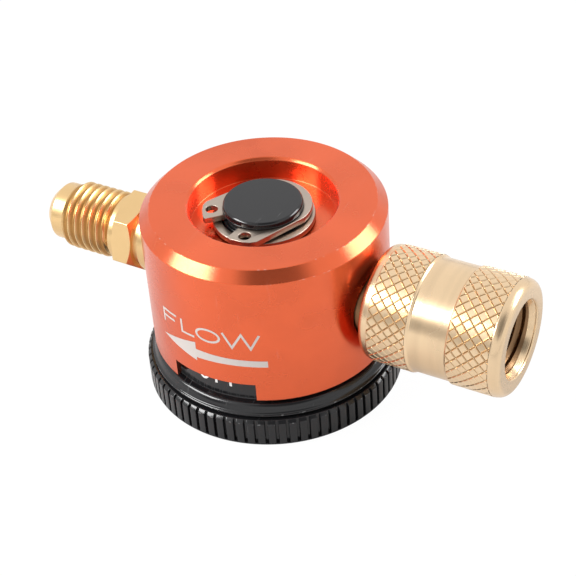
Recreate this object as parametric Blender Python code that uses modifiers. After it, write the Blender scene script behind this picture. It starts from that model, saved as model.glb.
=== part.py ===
"""Nitrogen flow regulator: an in-line valve with a selector dial, a flare outlet and a swivel-nut inlet.

Metres, +Z up. The origin is the centre of the dial's underside, on the dial's axis. Gas flows along
the X axis line at PORT_HEIGHT, from the swivel nut at +X to the flare at -X. The housing's window
faces -Y. Turning the dial lines one of the spindle's two cross drillings up with the ports.
"""

import math

import bmesh
import bpy
from mathutils import Euler, Vector

MM = 0.001
DEG = math.pi / 180.0

# Clearances
SEAT_GAP = 0.3 * MM  # between pieces that rest on, screw into or turn in one another
SEAL_GAP = 0.15 * MM  # round a seal, a snap ring or the detent ball

# Housing
HOUSING_DIAMETER = 38.0 * MM
HOUSING_CHAMFER = 1.6 * MM
RECESS_DEPTH = 3.75 * MM
RECESS_CHAMFER = 0.4 * MM
RECESS_ROOM = 2.05 * MM  # round the snap ring's lugs
CROWN_WALL = 3.3 * MM  # from the upper O-ring groove up to the recess's floor
SKIRT_WALL = 1.0 * MM
SKIRT_DEPTH = 4.55 * MM
EDGE_CHAMFER = 0.2 * MM
WINDOW_WIDTH = 14.1 * MM
WINDOW_HEIGHT = 3.3 * MM

# Ports
PORT_WALL = 0.4 * MM  # from the skirt's ceiling up to the spot faces
PORT_THREAD_DIAMETER = 9.7 * MM
PORT_MOUTH_CHAMFER = 0.85 * MM
SPOT_FACE_DEPTH = 1.6 * MM
COLLAR_WIDTH = 0.95 * MM  # of the fittings' collars, beyond their spigots
UNDERCUT_DEPTH = 0.65 * MM
UNDERCUT_LENGTH = 1.9 * MM
SPIGOT_CHAMFER = 0.4 * MM

# Dial
DIAL_OVERHANG = 1.5 * MM  # of the ribbed band beyond the housing's side
DIAL_BAND_HEIGHT = 4.65 * MM
DIAL_BAND_CHAMFER = 0.5 * MM
RIB_COUNT = 78
RIB_DEPTH = 0.5 * MM
RIB_GAP = 0.62 * MM
BEAD_RADIUS = 1.2 * MM
BEAD_OVERHANG = 0.5 * MM  # beyond the housing's side
BEAD_NECK_HEIGHT = 0.3 * MM
BEAD_NECK_DEPTH = 0.75 * MM

# Spindle, one piece with the dial
SPINDLE_DIAMETER = 12.5 * MM
SPINDLE_STANDING = 3.65 * MM  # above the floor of the housing's recess
SPINDLE_CHAMFER = 0.45 * MM
O_RING_GROOVE_DEPTH = 1.7 * MM
O_RING_GROOVE_WIDTH = 2.0 * MM
PORT_LAND = 0.6 * MM  # from a seat's edge to the groove above or below it
PURGE_DRILLING = 4.0 * MM
BRAZE_DRILLING = 3.0 * MM
SETTING_STEP = 60.0 * DEG  # turn from one setting to the next: off, braze, purge
SETTING_COUNT = 3

# Snap ring and washer on the spindle's end. The ring's widths are outward from its bore
RING_THICKNESS = 1.0 * MM
RING_GROOVE_DEPTH = 0.5 * MM
RING_GAP_DIRECTION = -116.0 * DEG
RING_HALF_GAP = 19.5 * DEG
RING_BACK_WIDTH = 1.8 * MM
RING_LUG_WIDTH = 3.45 * MM
RING_LUG_END = 48.0 * DEG
RING_WAIST_WIDTH = 1.2 * MM
RING_WAIST_ANGLE = 116.0 * DEG
RING_HOLE_DIAMETER = 1.9 * MM
RING_HOLE_OFFSET = 1.95 * MM
RING_HOLE_ANGLE = 35.0 * DEG
WASHER_WIDTH = 1.35 * MM
WASHER_THICKNESS = 1.0 * MM

# Detent and stop, between the housing's inner ceiling and the top of the dial
DETENT_INSET = 5.0 * MM  # from the skirt's inner wall
DETENT_DIRECTION = 90.0 * DEG
BALL_DIAMETER = 2.4 * MM
BALL_LIFT = 0.05 * MM  # between settings, clear of the dial's face
BALL_DROP = 0.45 * MM  # from there down into a dimple
SPRING_WIRE = 0.4 * MM
SPRING_DIAMETER = 2.2 * MM
SPRING_LENGTH = 5.85 * MM
SPRING_TURNS = 4
STOP_DIRECTION = -90.0 * DEG
STOP_PIN_DIAMETER = 2.5 * MM
STOP_PIN_LENGTH = 6.0 * MM
STOP_GROOVE_DEPTH = 1.6 * MM

# Seats that press on the spindle
SEAT_DIAMETER = 6.4 * MM
SEAT_WALL = 1.1 * MM
SEAT_LENGTH = 1.8 * MM
SEAT_O_RING_SECTION = 1.0 * MM
PORT_O_RING_SECTION = 0.9 * MM

# Metering orifice, pressed into the braze drilling on its inlet side
ORIFICE_LENGTH = 3.2 * MM
ORIFICE_BORE = 0.6 * MM
ORIFICE_SETBACK = 0.45 * MM

# Outlet fitting
OUTLET_HEX_ROOM = 3.0 * MM  # from the housing's side to the hexagon
OUTLET_NECK_LENGTH = 1.1 * MM
OUTLET_NECK_DEPTH = 0.6 * MM
OUTLET_HEX_LENGTH = 3.65 * MM
OUTLET_HEX_WIDTH = 11.8 * MM
OUTLET_HEX_TURN = -16.0 * DEG
OUTLET_LAND_LENGTH = 1.45 * MM
OUTLET_LAND_STEP = 0.1 * MM  # below the thread's crests
FLARE_THREAD_DIAMETER = 11.11 * MM
FLARE_THREAD_LENGTH = 9.0 * MM
FLARE_THREAD_CHAMFER = 0.7 * MM
FLARE_NOSE_STEP = 0.87 * MM  # below the thread's crests
FLARE_NOSE_LENGTH = 2.2 * MM
FLARE_CONE_LENGTH = 1.4 * MM
FLARE_BORE = 4.8 * MM

# Inlet stem, which carries the swivel nut
STEM_HEAD_CLEARANCE = 0.2 * MM  # inside the nut's thread
STEM_HEAD_LENGTH = 3.7 * MM
STEM_FLANGE_WIDTH = 0.65 * MM  # of the head beyond the shank
STEM_BORE = 3.8 * MM
STEM_SOCKET_WIDTH = 4.6 * MM
STEM_SOCKET_DEPTH = 3.0 * MM
GASKET_THICKNESS = 1.2 * MM
GASKET_BORE = 4.8 * MM

# Swivel nut
NUT_ROOM = 1.0 * MM  # from the housing's side to the nut
NUT_DIAMETER = 18.3 * MM
NUT_LENGTH = 22.4 * MM
NUT_BACK_WALL = 3.0 * MM
NUT_BACK_CHAMFER = 0.65 * MM
NUT_FRONT_ROUNDING = 1.25 * MM
NUT_FRONT_STEP = 0.75 * MM
NUT_BAND_START = 8.0 * MM
NUT_BAND_LENGTH = 6.0 * MM
NUT_BAND_DEPTH = 0.3 * MM
NUT_THREAD_BORE = 9.9 * MM
NUT_CHAMBER_RELIEF = 0.75 * MM
NUT_MOUTH_CHAMFER = 1.15 * MM

# Segments round each kind of surface
BODY_SEGMENTS = 60
DIAL_SEGMENTS = RIB_COUNT  # one flat to a rib, with the corners in the gaps
SPINDLE_SEGMENTS = 28
FITTING_SEGMENTS = 28
NUT_SEGMENTS = 36
BORE_SEGMENTS = 20
SMALL_SEGMENTS = 12
SEAL_SIDES = 5
BEAD_STEPS = 4
NUT_ROUNDING_STEPS = 3

# Radii that follow from the sizes above
HOUSING_RADIUS = HOUSING_DIAMETER / 2
SKIRT_INNER_RADIUS = HOUSING_RADIUS - SKIRT_WALL
LEGEND_RADIUS = SKIRT_INNER_RADIUS - SEAT_GAP
DIAL_RADIUS = HOUSING_RADIUS + DIAL_OVERHANG
BEAD_CREST_RADIUS = HOUSING_RADIUS + BEAD_OVERHANG
BEAD_NECK_RADIUS = BEAD_CREST_RADIUS - BEAD_NECK_DEPTH
SPINDLE_RADIUS = SPINDLE_DIAMETER / 2
SPINDLE_BORE_RADIUS = SPINDLE_RADIUS + SEAT_GAP
O_RING_FLOOR_RADIUS = SPINDLE_RADIUS - O_RING_GROOVE_DEPTH
RING_FLOOR_RADIUS = SPINDLE_RADIUS - RING_GROOVE_DEPTH
RING_INNER_RADIUS = RING_FLOOR_RADIUS + SEAL_GAP
RING_LUG_RADIUS = RING_INNER_RADIUS + RING_LUG_WIDTH
RECESS_RADIUS = RING_LUG_RADIUS + RECESS_ROOM
DETENT_RADIUS = SKIRT_INNER_RADIUS - DETENT_INSET
BALL_RADIUS = BALL_DIAMETER / 2
SPIGOT_RADIUS = PORT_THREAD_DIAMETER / 2
UNDERCUT_RADIUS = SPIGOT_RADIUS - UNDERCUT_DEPTH
COLLAR_RADIUS = SPIGOT_RADIUS + COLLAR_WIDTH
FLARE_THREAD_RADIUS = FLARE_THREAD_DIAMETER / 2
NUT_THREAD_RADIUS = NUT_THREAD_BORE / 2
STEM_HEAD_RADIUS = NUT_THREAD_RADIUS - STEM_HEAD_CLEARANCE
STEM_SHANK_RADIUS = STEM_HEAD_RADIUS - STEM_FLANGE_WIDTH

# Heights above the dial's underside
BEAD_TOP = DIAL_BAND_HEIGHT + BEAD_NECK_HEIGHT + 2 * BEAD_RADIUS
HOUSING_BASE = BEAD_TOP + SEAT_GAP
CEILING = HOUSING_BASE + SKIRT_DEPTH
DIAL_FACE = CEILING - SEAT_GAP
PORT_HEIGHT = CEILING + PORT_WALL + SEAT_GAP + COLLAR_RADIUS
O_RING_GROOVE_OFFSET = SEAT_DIAMETER / 2 + PORT_LAND + O_RING_GROOVE_WIDTH / 2
RECESS_FLOOR = PORT_HEIGHT + O_RING_GROOVE_OFFSET + O_RING_GROOVE_WIDTH / 2 + CROWN_WALL
HOUSING_TOP = RECESS_FLOOR + RECESS_DEPTH
SPINDLE_TOP = RECESS_FLOOR + SPINDLE_STANDING
WASHER_BASE = RECESS_FLOOR + SEAT_GAP
RING_BASE = WASHER_BASE + WASHER_THICKNESS + SEAT_GAP
BALL_HEIGHT = DIAL_FACE + BALL_LIFT + BALL_RADIUS
SPRING_BASE = BALL_HEIGHT + BALL_RADIUS + SEAL_GAP
DETENT_HOLE_DEPTH = SPRING_BASE + SPRING_LENGTH + SEAL_GAP - CEILING
STOP_PIN_BASE = DIAL_FACE - STOP_GROOVE_DEPTH + SEAT_GAP
STOP_HOLE_DEPTH = STOP_PIN_BASE + STOP_PIN_LENGTH + SEAT_GAP - CEILING

# Distances outward from the dial's axis along a port
SEAT_CONTACT = SPINDLE_RADIUS + SEAL_GAP
SEAT_END = SEAT_CONTACT + SEAT_LENGTH
PORT_STEP = SEAT_END + SEAL_GAP + SEAT_O_RING_SECTION + SEAL_GAP
SPIGOT_END = PORT_STEP + SEAT_GAP
PORT_SPOT_FACE = HOUSING_RADIUS - SPOT_FACE_DEPTH
COLLAR_START = PORT_SPOT_FACE + SEAT_GAP
OUTLET_HEX_START = HOUSING_RADIUS + OUTLET_HEX_ROOM
NUT_START = HOUSING_RADIUS + NUT_ROOM
NUT_CHAMBER_START = NUT_START + NUT_BACK_WALL
STEM_HEAD_START = NUT_CHAMBER_START + SEAT_GAP
STEM_HEAD_END = STEM_HEAD_START + STEM_HEAD_LENGTH
GASKET_START = STEM_HEAD_END + SEAT_GAP
NUT_CHAMBER_END = GASKET_START + GASKET_THICKNESS + SEAT_GAP

OUTWARD_INLET = Euler((0, math.pi / 2, 0))  # local +Z runs out along +X
OUTWARD_OUTLET = Euler((0, -math.pi / 2, 0))  # local +Z runs out along -X


def clear_scene():
    for obj in list(bpy.data.objects):
        bpy.data.objects.remove(obj, do_unlink=True)


def make_collection(name):
    collection = bpy.data.collections.new(name)
    bpy.context.scene.collection.children.link(collection)
    return collection


def make_material(name, colour, roughness, metallic):
    material = bpy.data.materials.new(name)
    material.use_nodes = True
    shader = material.node_tree.nodes["Principled BSDF"]
    shader.inputs["Base Color"].default_value = (*colour, 1.0)
    shader.inputs["Roughness"].default_value = roughness
    shader.inputs["Metallic"].default_value = metallic
    material.diffuse_color = (*colour, 1.0)
    return material


def add_object(name, data, collection, location=(0, 0, 0), rotation=(0, 0, 0)):
    obj = bpy.data.objects.new(name, data)
    obj.location = location
    obj.rotation_euler = rotation
    collection.objects.link(obj)
    return obj


def smooth(mesh):
    """Shade a round piece smooth but for edges sharper than 30 degrees."""
    mesh.shade_smooth()
    mesh.set_sharp_from_angle(angle=30 * DEG)


def evaluated_mesh(obj):
    bpy.context.view_layer.update()
    return bpy.data.meshes.new_from_object(obj.evaluated_get(bpy.context.evaluated_depsgraph_get()))


def turned(name, outline, segments, collection, closed=False, **place):
    """Turn an outline of (radius, height) points round local Z. It runs down the outer side."""
    mesh = bpy.data.meshes.new(name)
    count = len(outline)
    edges = [(i, (i + 1) % count) for i in range(count if closed else count - 1)]
    mesh.from_pydata([(radius, 0, height) for radius, height in outline], edges, [])
    obj = add_object(name, mesh, collection, **place)
    screw = obj.modifiers.new("Turn", "SCREW")
    screw.angle = 2 * math.pi
    screw.steps = screw.render_steps = segments
    screw.use_merge_vertices = True
    screw.merge_threshold = 0.00001
    obj.data = evaluated_mesh(obj)
    obj.modifiers.clear()
    smooth(obj.data)
    return obj


def prism(name, radius, low, high, segments, collection, **place):
    """A solid prism or cylinder from height low to height high along local Z."""
    mesh = bpy.data.meshes.new(name)
    shape = bmesh.new()
    bmesh.ops.create_cone(
        shape, cap_ends=True, segments=segments, radius1=radius, radius2=radius, depth=high - low
    )
    bmesh.ops.translate(shape, vec=(0, 0, (high + low) / 2), verts=shape.verts)
    shape.to_mesh(mesh)
    shape.free()
    smooth(mesh)
    return add_object(name, mesh, collection, **place)


def box(name, low, high, collection):
    """A box between two opposite corners."""
    mesh = bpy.data.meshes.new(name)
    shape = bmesh.new()
    bmesh.ops.create_cube(shape, size=1)
    bmesh.ops.scale(shape, vec=Vector(high) - Vector(low), verts=shape.verts)
    bmesh.ops.translate(shape, vec=(Vector(high) + Vector(low)) / 2, verts=shape.verts)
    shape.to_mesh(mesh)
    shape.free()
    return add_object(name, mesh, collection)


def flat_plate(name, outlines, thickness, collection, **place):
    """A plate of closed (x, y) outlines, holes included, from local Z 0 up to its thickness."""
    curve = bpy.data.curves.new(name, "CURVE")
    curve.dimensions = "2D"
    curve.fill_mode = "BOTH"
    curve.extrude = thickness / 2
    for outline in outlines:
        spline = curve.splines.new("POLY")
        spline.points.add(len(outline) - 1)
        for point, (x, y) in zip(spline.points, outline):
            point.co = (x, y, 0, 1)
        spline.use_cyclic_u = True
    guide = add_object(name + "_outline", curve, collection)
    mesh = evaluated_mesh(guide)
    bpy.data.objects.remove(guide, do_unlink=True)
    shape = bmesh.new()
    shape.from_mesh(mesh)
    bmesh.ops.remove_doubles(shape, verts=shape.verts, dist=0.000001)
    bmesh.ops.translate(shape, vec=(0, 0, thickness / 2), verts=shape.verts)
    shape.to_mesh(mesh)
    shape.free()
    return add_object(name, mesh, collection, **place)


def o_ring(name, ring_radius, section, material, collection, segments, **place):
    """A ring of round section about local Z, with its middle at the object's origin."""
    bpy.ops.mesh.primitive_torus_add(
        major_radius=ring_radius, minor_radius=section / 2, major_segments=segments, minor_segments=SEAL_SIDES
    )
    guide = bpy.context.object
    mesh = guide.data
    bpy.data.objects.remove(guide, do_unlink=True)
    smooth(mesh)
    mesh.materials.append(material)
    return add_object(name, mesh, collection, **place)


def cutter(obj):
    obj.hide_render = True
    obj.display_type = "WIRE"
    return obj


def boolean(obj, operation, tool):
    modifier = obj.modifiers.new(tool.name, "BOOLEAN")
    modifier.operation = operation
    modifier.solver = "EXACT"
    modifier.object = cutter(tool)


def on_circle(radius, angle, height):
    return Vector((radius * math.cos(angle), radius * math.sin(angle), height))


def arc(centre, radius, start, end, steps):
    """Points on an arc in a plane, from angle start to angle end."""
    turn = (end - start) / steps
    return [
        (centre[0] + radius * math.cos(start + i * turn), centre[1] + radius * math.sin(start + i * turn))
        for i in range(steps + 1)
    ]


def port_cutter(name, rotation, cutters):
    """Spot face, threaded hole with a chamfered mouth, and seat bore of one side port."""
    spot_radius = COLLAR_RADIUS + SEAT_GAP
    thread_radius = SPIGOT_RADIUS + SEAT_GAP
    seat_radius = SEAT_DIAMETER / 2 + SEAT_GAP
    beyond = HOUSING_RADIUS + SPINDLE_RADIUS
    inside = SPINDLE_RADIUS / 2
    outline = [
        (0, beyond),
        (spot_radius, beyond),
        (spot_radius, PORT_SPOT_FACE),
        (thread_radius + PORT_MOUTH_CHAMFER, PORT_SPOT_FACE),
        (thread_radius, PORT_SPOT_FACE - PORT_MOUTH_CHAMFER),
        (thread_radius, PORT_STEP),
        (seat_radius, PORT_STEP),
        (seat_radius, inside),
        (0, inside),
    ]
    return turned(name, outline, BORE_SEGMENTS, cutters, location=(0, 0, PORT_HEIGHT), rotation=rotation)


def window_cutter(cutters):
    """A slot milled straight through the skirt's front wall, open at its lower edge."""
    half = WINDOW_WIDTH / 2
    inner = math.sqrt(SKIRT_INNER_RADIUS**2 - half**2) - SKIRT_WALL
    outer = HOUSING_RADIUS + SKIRT_WALL
    return box(
        "window_cutter",
        (-half, -outer, HOUSING_BASE - SKIRT_WALL),
        (half, -inner, HOUSING_BASE + WINDOW_HEIGHT),
        cutters,
    )


def make_housing(parts, cutters, material):
    outline = [
        (0, HOUSING_TOP),
        (HOUSING_RADIUS - HOUSING_CHAMFER, HOUSING_TOP),
        (HOUSING_RADIUS, HOUSING_TOP - HOUSING_CHAMFER),
        (HOUSING_RADIUS, HOUSING_BASE + EDGE_CHAMFER),
        (HOUSING_RADIUS - EDGE_CHAMFER, HOUSING_BASE),
        (0, HOUSING_BASE),
    ]
    housing = turned("housing", outline, BODY_SEGMENTS, parts)
    housing.data.materials.append(material)

    above = HOUSING_TOP + RECESS_DEPTH
    below = HOUSING_BASE - SKIRT_WALL
    recess_outline = [
        (0, above),
        (RECESS_RADIUS + RECESS_CHAMFER, above),
        (RECESS_RADIUS + RECESS_CHAMFER, HOUSING_TOP),
        (RECESS_RADIUS, HOUSING_TOP - RECESS_CHAMFER),
        (RECESS_RADIUS, RECESS_FLOOR),
        (0, RECESS_FLOOR),
    ]
    skirt_outline = [
        (0, CEILING),
        (SKIRT_INNER_RADIUS, CEILING),
        (SKIRT_INNER_RADIUS, HOUSING_BASE + EDGE_CHAMFER),
        (SKIRT_INNER_RADIUS + EDGE_CHAMFER, HOUSING_BASE),
        (SKIRT_INNER_RADIUS + EDGE_CHAMFER, below),
        (0, below),
    ]
    cuts = [
        turned("recess_cutter", recess_outline, NUT_SEGMENTS, cutters),
        turned("skirt_cutter", skirt_outline, BODY_SEGMENTS, cutters),
        prism("spindle_bore_cutter", SPINDLE_BORE_RADIUS, below, above, SPINDLE_SEGMENTS, cutters),
        prism(
            "detent_hole_cutter",
            BALL_RADIUS + SEAT_GAP,
            -SKIRT_WALL,
            DETENT_HOLE_DEPTH,
            SMALL_SEGMENTS,
            cutters,
            location=on_circle(DETENT_RADIUS, DETENT_DIRECTION, CEILING),
        ),
        prism(
            "stop_hole_cutter",
            STOP_PIN_DIAMETER / 2 + SEAT_GAP,
            -SKIRT_WALL,
            STOP_HOLE_DEPTH,
            SMALL_SEGMENTS,
            cutters,
            location=on_circle(DETENT_RADIUS, STOP_DIRECTION, CEILING),
        ),
        port_cutter("inlet_port_cutter", OUTWARD_INLET, cutters),
        port_cutter("outlet_port_cutter", OUTWARD_OUTLET, cutters),
        window_cutter(cutters),
    ]
    for cut in cuts:
        boolean(housing, "DIFFERENCE", cut)
    return housing


def spindle_groove(middle):
    """The four outline points of an O-ring groove in the spindle, from the top down."""
    high = middle + O_RING_GROOVE_WIDTH / 2
    low = middle - O_RING_GROOVE_WIDTH / 2
    floor = O_RING_FLOOR_RADIUS
    return [(SPINDLE_RADIUS, high), (floor, high), (floor, low), (SPINDLE_RADIUS, low)]


def spindle_outline():
    ring_high = RING_BASE + RING_THICKNESS + SEAL_GAP
    ring_low = RING_BASE - SEAL_GAP
    inside_dial = DIAL_FACE - SPINDLE_RADIUS / 2
    return [
        (0, SPINDLE_TOP),
        (SPINDLE_RADIUS - SPINDLE_CHAMFER, SPINDLE_TOP),
        (SPINDLE_RADIUS, SPINDLE_TOP - SPINDLE_CHAMFER),
        (SPINDLE_RADIUS, ring_high),
        (RING_FLOOR_RADIUS, ring_high),
        (RING_FLOOR_RADIUS, ring_low),
        (SPINDLE_RADIUS, ring_low),
        *spindle_groove(PORT_HEIGHT + O_RING_GROOVE_OFFSET),
        *spindle_groove(PORT_HEIGHT - O_RING_GROOVE_OFFSET),
        (SPINDLE_RADIUS, inside_dial),
        (0, inside_dial),
    ]


def dial_outline():
    """Legend collar, bead, neck and ribbed band, from the face inside the skirt down to the foot."""
    bead_centre = (BEAD_CREST_RADIUS - BEAD_RADIUS, BEAD_TOP - BEAD_RADIUS)
    neck_turn = math.acos((BEAD_NECK_RADIUS - bead_centre[0]) / BEAD_RADIUS)
    return [
        (0, DIAL_FACE),
        (LEGEND_RADIUS - EDGE_CHAMFER, DIAL_FACE),
        (LEGEND_RADIUS, DIAL_FACE - EDGE_CHAMFER),
        (LEGEND_RADIUS, BEAD_TOP),
        *arc(bead_centre, BEAD_RADIUS, math.pi / 2, -neck_turn, BEAD_STEPS),
        (BEAD_NECK_RADIUS, DIAL_BAND_HEIGHT),
        (DIAL_RADIUS - DIAL_BAND_CHAMFER, DIAL_BAND_HEIGHT),
        (DIAL_RADIUS, DIAL_BAND_HEIGHT - DIAL_BAND_CHAMFER),
        (DIAL_RADIUS, 0),
        (0, 0),
    ]


def rib_gap_cutter(cutters):
    """One block for each gap between the dial's ribs, all in one object."""
    mesh = bpy.data.meshes.new("rib_gap_cutter")
    blocks = bmesh.new()
    low = -DIAL_BAND_CHAMFER
    high = DIAL_BAND_HEIGHT + DIAL_BAND_CHAMFER
    for i in range(RIB_COUNT):
        angle = 2 * math.pi * i / RIB_COUNT
        verts = bmesh.ops.create_cube(blocks, size=1)["verts"]
        bmesh.ops.scale(blocks, vec=(2 * RIB_DEPTH, RIB_GAP, high - low), verts=verts)
        bmesh.ops.translate(blocks, vec=(DIAL_RADIUS, 0, (low + high) / 2), verts=verts)
        bmesh.ops.rotate(blocks, cent=(0, 0, 0), matrix=Euler((0, 0, angle)).to_matrix(), verts=verts)
    blocks.to_mesh(mesh)
    blocks.free()
    return add_object("rib_gap_cutter", mesh, cutters)


def stop_groove_cutter(cutters):
    """A kidney slot in the dial's face, which the stop pin runs in from the first setting to the last."""
    half_width = STOP_PIN_DIAMETER / 2 + SEAT_GAP
    first = STOP_DIRECTION - (SETTING_COUNT - 1) * SETTING_STEP
    last = STOP_DIRECTION
    first_end = on_circle(DETENT_RADIUS, first, 0)
    last_end = on_circle(DETENT_RADIUS, last, 0)
    outline = [
        *arc((0, 0), DETENT_RADIUS + half_width, first, last, SMALL_SEGMENTS),
        *arc(last_end, half_width, last, last + math.pi, SMALL_SEGMENTS // 2)[1:],
        *arc((0, 0), DETENT_RADIUS - half_width, last, first, SMALL_SEGMENTS)[1:],
        *arc(first_end, half_width, first - math.pi, first, SMALL_SEGMENTS // 2)[1:-1],
    ]
    floor = DIAL_FACE - STOP_GROOVE_DEPTH
    return flat_plate("stop_groove_cutter", [outline], 2 * STOP_GROOVE_DEPTH, cutters, location=(0, 0, floor))


def dimple_cutter(setting, cutters):
    """The hollow that the detent ball drops into at one setting."""
    mesh = bpy.data.meshes.new("dimple_cutter")
    ball = bmesh.new()
    bmesh.ops.create_uvsphere(ball, u_segments=SMALL_SEGMENTS, v_segments=8, radius=BALL_RADIUS + SEAL_GAP)
    ball.to_mesh(mesh)
    ball.free()
    angle = DETENT_DIRECTION - setting * SETTING_STEP
    place = on_circle(DETENT_RADIUS, angle, BALL_HEIGHT - BALL_DROP)
    return add_object(f"dimple_cutter_{setting}", mesh, cutters, location=place)


def drilling_cutter(name, diameter, setting, cutters):
    """A cross drilling through the spindle that lines up with the ports at one setting."""
    rotation = Euler((0, math.pi / 2, -setting * SETTING_STEP))
    reach = SPINDLE_DIAMETER
    place = {"location": (0, 0, PORT_HEIGHT), "rotation": rotation}
    return prism(name, diameter / 2, -reach, reach, SMALL_SEGMENTS, cutters, **place)


def make_dial(parts, cutters, pivot, material):
    """The dial and its spindle, turned from one bar."""
    dial = turned("selector_dial", dial_outline(), DIAL_SEGMENTS, parts)
    dial.data.materials.append(material)
    boolean(dial, "DIFFERENCE", rib_gap_cutter(cutters))
    boolean(dial, "DIFFERENCE", stop_groove_cutter(cutters))
    for setting in range(SETTING_COUNT):
        boolean(dial, "DIFFERENCE", dimple_cutter(setting, cutters))
    boolean(dial, "UNION", turned("spindle_blank", spindle_outline(), SPINDLE_SEGMENTS, cutters))
    boolean(dial, "DIFFERENCE", drilling_cutter("braze_drilling_cutter", BRAZE_DRILLING, 1, cutters))
    boolean(dial, "DIFFERENCE", drilling_cutter("purge_drilling_cutter", PURGE_DRILLING, 2, cutters))
    dial.parent = pivot
    return dial


def ring_outline():
    """Snap ring outline in its own plane, with its gap towards +X: inner arc, lugs and eccentric back."""
    waist_radius = RING_INNER_RADIUS + RING_WAIST_WIDTH
    waist = on_circle(waist_radius, RING_WAIST_ANGLE, 0)
    back = RING_INNER_RADIUS + RING_BACK_WIDTH
    # The back's arc has its centre on the gap's axis, and runs from one waist round to the other
    shift = (back**2 - waist_radius**2) / (2 * (back + waist.x))
    start = math.atan2(waist.y, waist.x + shift)
    lug = [
        (RING_LUG_RADIUS - EDGE_CHAMFER, RING_HALF_GAP),
        (RING_LUG_RADIUS, RING_HOLE_ANGLE),
        (RING_LUG_RADIUS - EDGE_CHAMFER, RING_LUG_END),
    ]
    upper = [on_circle(radius, angle, 0).to_2d() for radius, angle in lug]
    lower = [(x, -y) for x, y in reversed(upper)]
    outer = arc((-shift, 0), back - shift, start, 2 * math.pi - start, SMALL_SEGMENTS)
    inside = arc((0, 0), RING_INNER_RADIUS, 2 * math.pi - RING_HALF_GAP, RING_HALF_GAP, BORE_SEGMENTS)
    return [*upper, *outer, *lower, *inside]


def make_retaining_ring(parts, pivot, material):
    holes = []
    for side in (-1, 1):
        centre = on_circle(RING_INNER_RADIUS + RING_HOLE_OFFSET, side * RING_HOLE_ANGLE, 0)
        holes.append(arc(centre, RING_HOLE_DIAMETER / 2, 0, 2 * math.pi, SMALL_SEGMENTS)[:-1])
    ring = flat_plate(
        "retaining_ring",
        [ring_outline(), *holes],
        RING_THICKNESS,
        parts,
        location=(0, 0, RING_BASE),
        rotation=(0, 0, RING_GAP_DIRECTION),
    )
    ring.data.materials.append(material)
    ring.parent = pivot
    return ring


def make_thrust_washer(parts, material):
    outer = SPINDLE_BORE_RADIUS + WASHER_WIDTH
    outline = [
        (outer, WASHER_THICKNESS),
        (outer, 0),
        (SPINDLE_BORE_RADIUS, 0),
        (SPINDLE_BORE_RADIUS, WASHER_THICKNESS),
    ]
    place = {"location": (0, 0, WASHER_BASE)}
    washer = turned("thrust_washer", outline, SPINDLE_SEGMENTS, parts, closed=True, **place)
    washer.data.materials.append(material)
    return washer


def make_spindle_o_rings(parts, pivot, material):
    inner = O_RING_FLOOR_RADIUS + SEAL_GAP
    section = SPINDLE_BORE_RADIUS - SEAL_GAP - inner
    for name, offset in (("upper", O_RING_GROOVE_OFFSET), ("lower", -O_RING_GROOVE_OFFSET)):
        ring = o_ring(
            f"spindle_o_ring_{name}",
            inner + section / 2,
            section,
            material,
            parts,
            BORE_SEGMENTS,
            location=(0, 0, PORT_HEIGHT + offset),
        )
        ring.parent = pivot


def make_detent_ball(parts, material):
    mesh = bpy.data.meshes.new("detent_ball")
    ball = bmesh.new()
    bmesh.ops.create_uvsphere(ball, u_segments=SMALL_SEGMENTS, v_segments=6, radius=BALL_RADIUS)
    ball.to_mesh(mesh)
    ball.free()
    mesh.shade_smooth()
    mesh.materials.append(material)
    place = on_circle(DETENT_RADIUS, DETENT_DIRECTION, BALL_HEIGHT)
    return add_object("detent_ball", mesh, parts, location=place)


def make_detent_spring(parts, material):
    """A compression spring between the ball and the end of its hole, with one closed turn at each end."""
    low = SPRING_BASE + SPRING_WIRE / 2
    high = SPRING_BASE + SPRING_LENGTH - SPRING_WIRE / 2
    steps_a_turn = 9
    steps = SPRING_TURNS * steps_a_turn
    mean_radius = (SPRING_DIAMETER - SPRING_WIRE) / 2
    curve = bpy.data.curves.new("detent_spring", "CURVE")
    curve.dimensions = "3D"
    curve.bevel_depth = SPRING_WIRE / 2
    curve.bevel_resolution = 1
    curve.use_fill_caps = True
    spline = curve.splines.new("POLY")
    spline.points.add(steps)
    for i, point in enumerate(spline.points):
        point.co = (*on_circle(mean_radius, 2 * math.pi * i / steps_a_turn, (high - low) * i / steps), 1)
    curve.materials.append(material)
    place = on_circle(DETENT_RADIUS, DETENT_DIRECTION, low)
    return add_object("detent_spring", curve, parts, location=place)


def make_stop_pin(parts, material):
    pin = prism(
        "stop_pin",
        STOP_PIN_DIAMETER / 2,
        0,
        STOP_PIN_LENGTH,
        SMALL_SEGMENTS,
        parts,
        location=on_circle(DETENT_RADIUS, STOP_DIRECTION, STOP_PIN_BASE),
    )
    pin.data.materials.append(material)
    return pin


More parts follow.
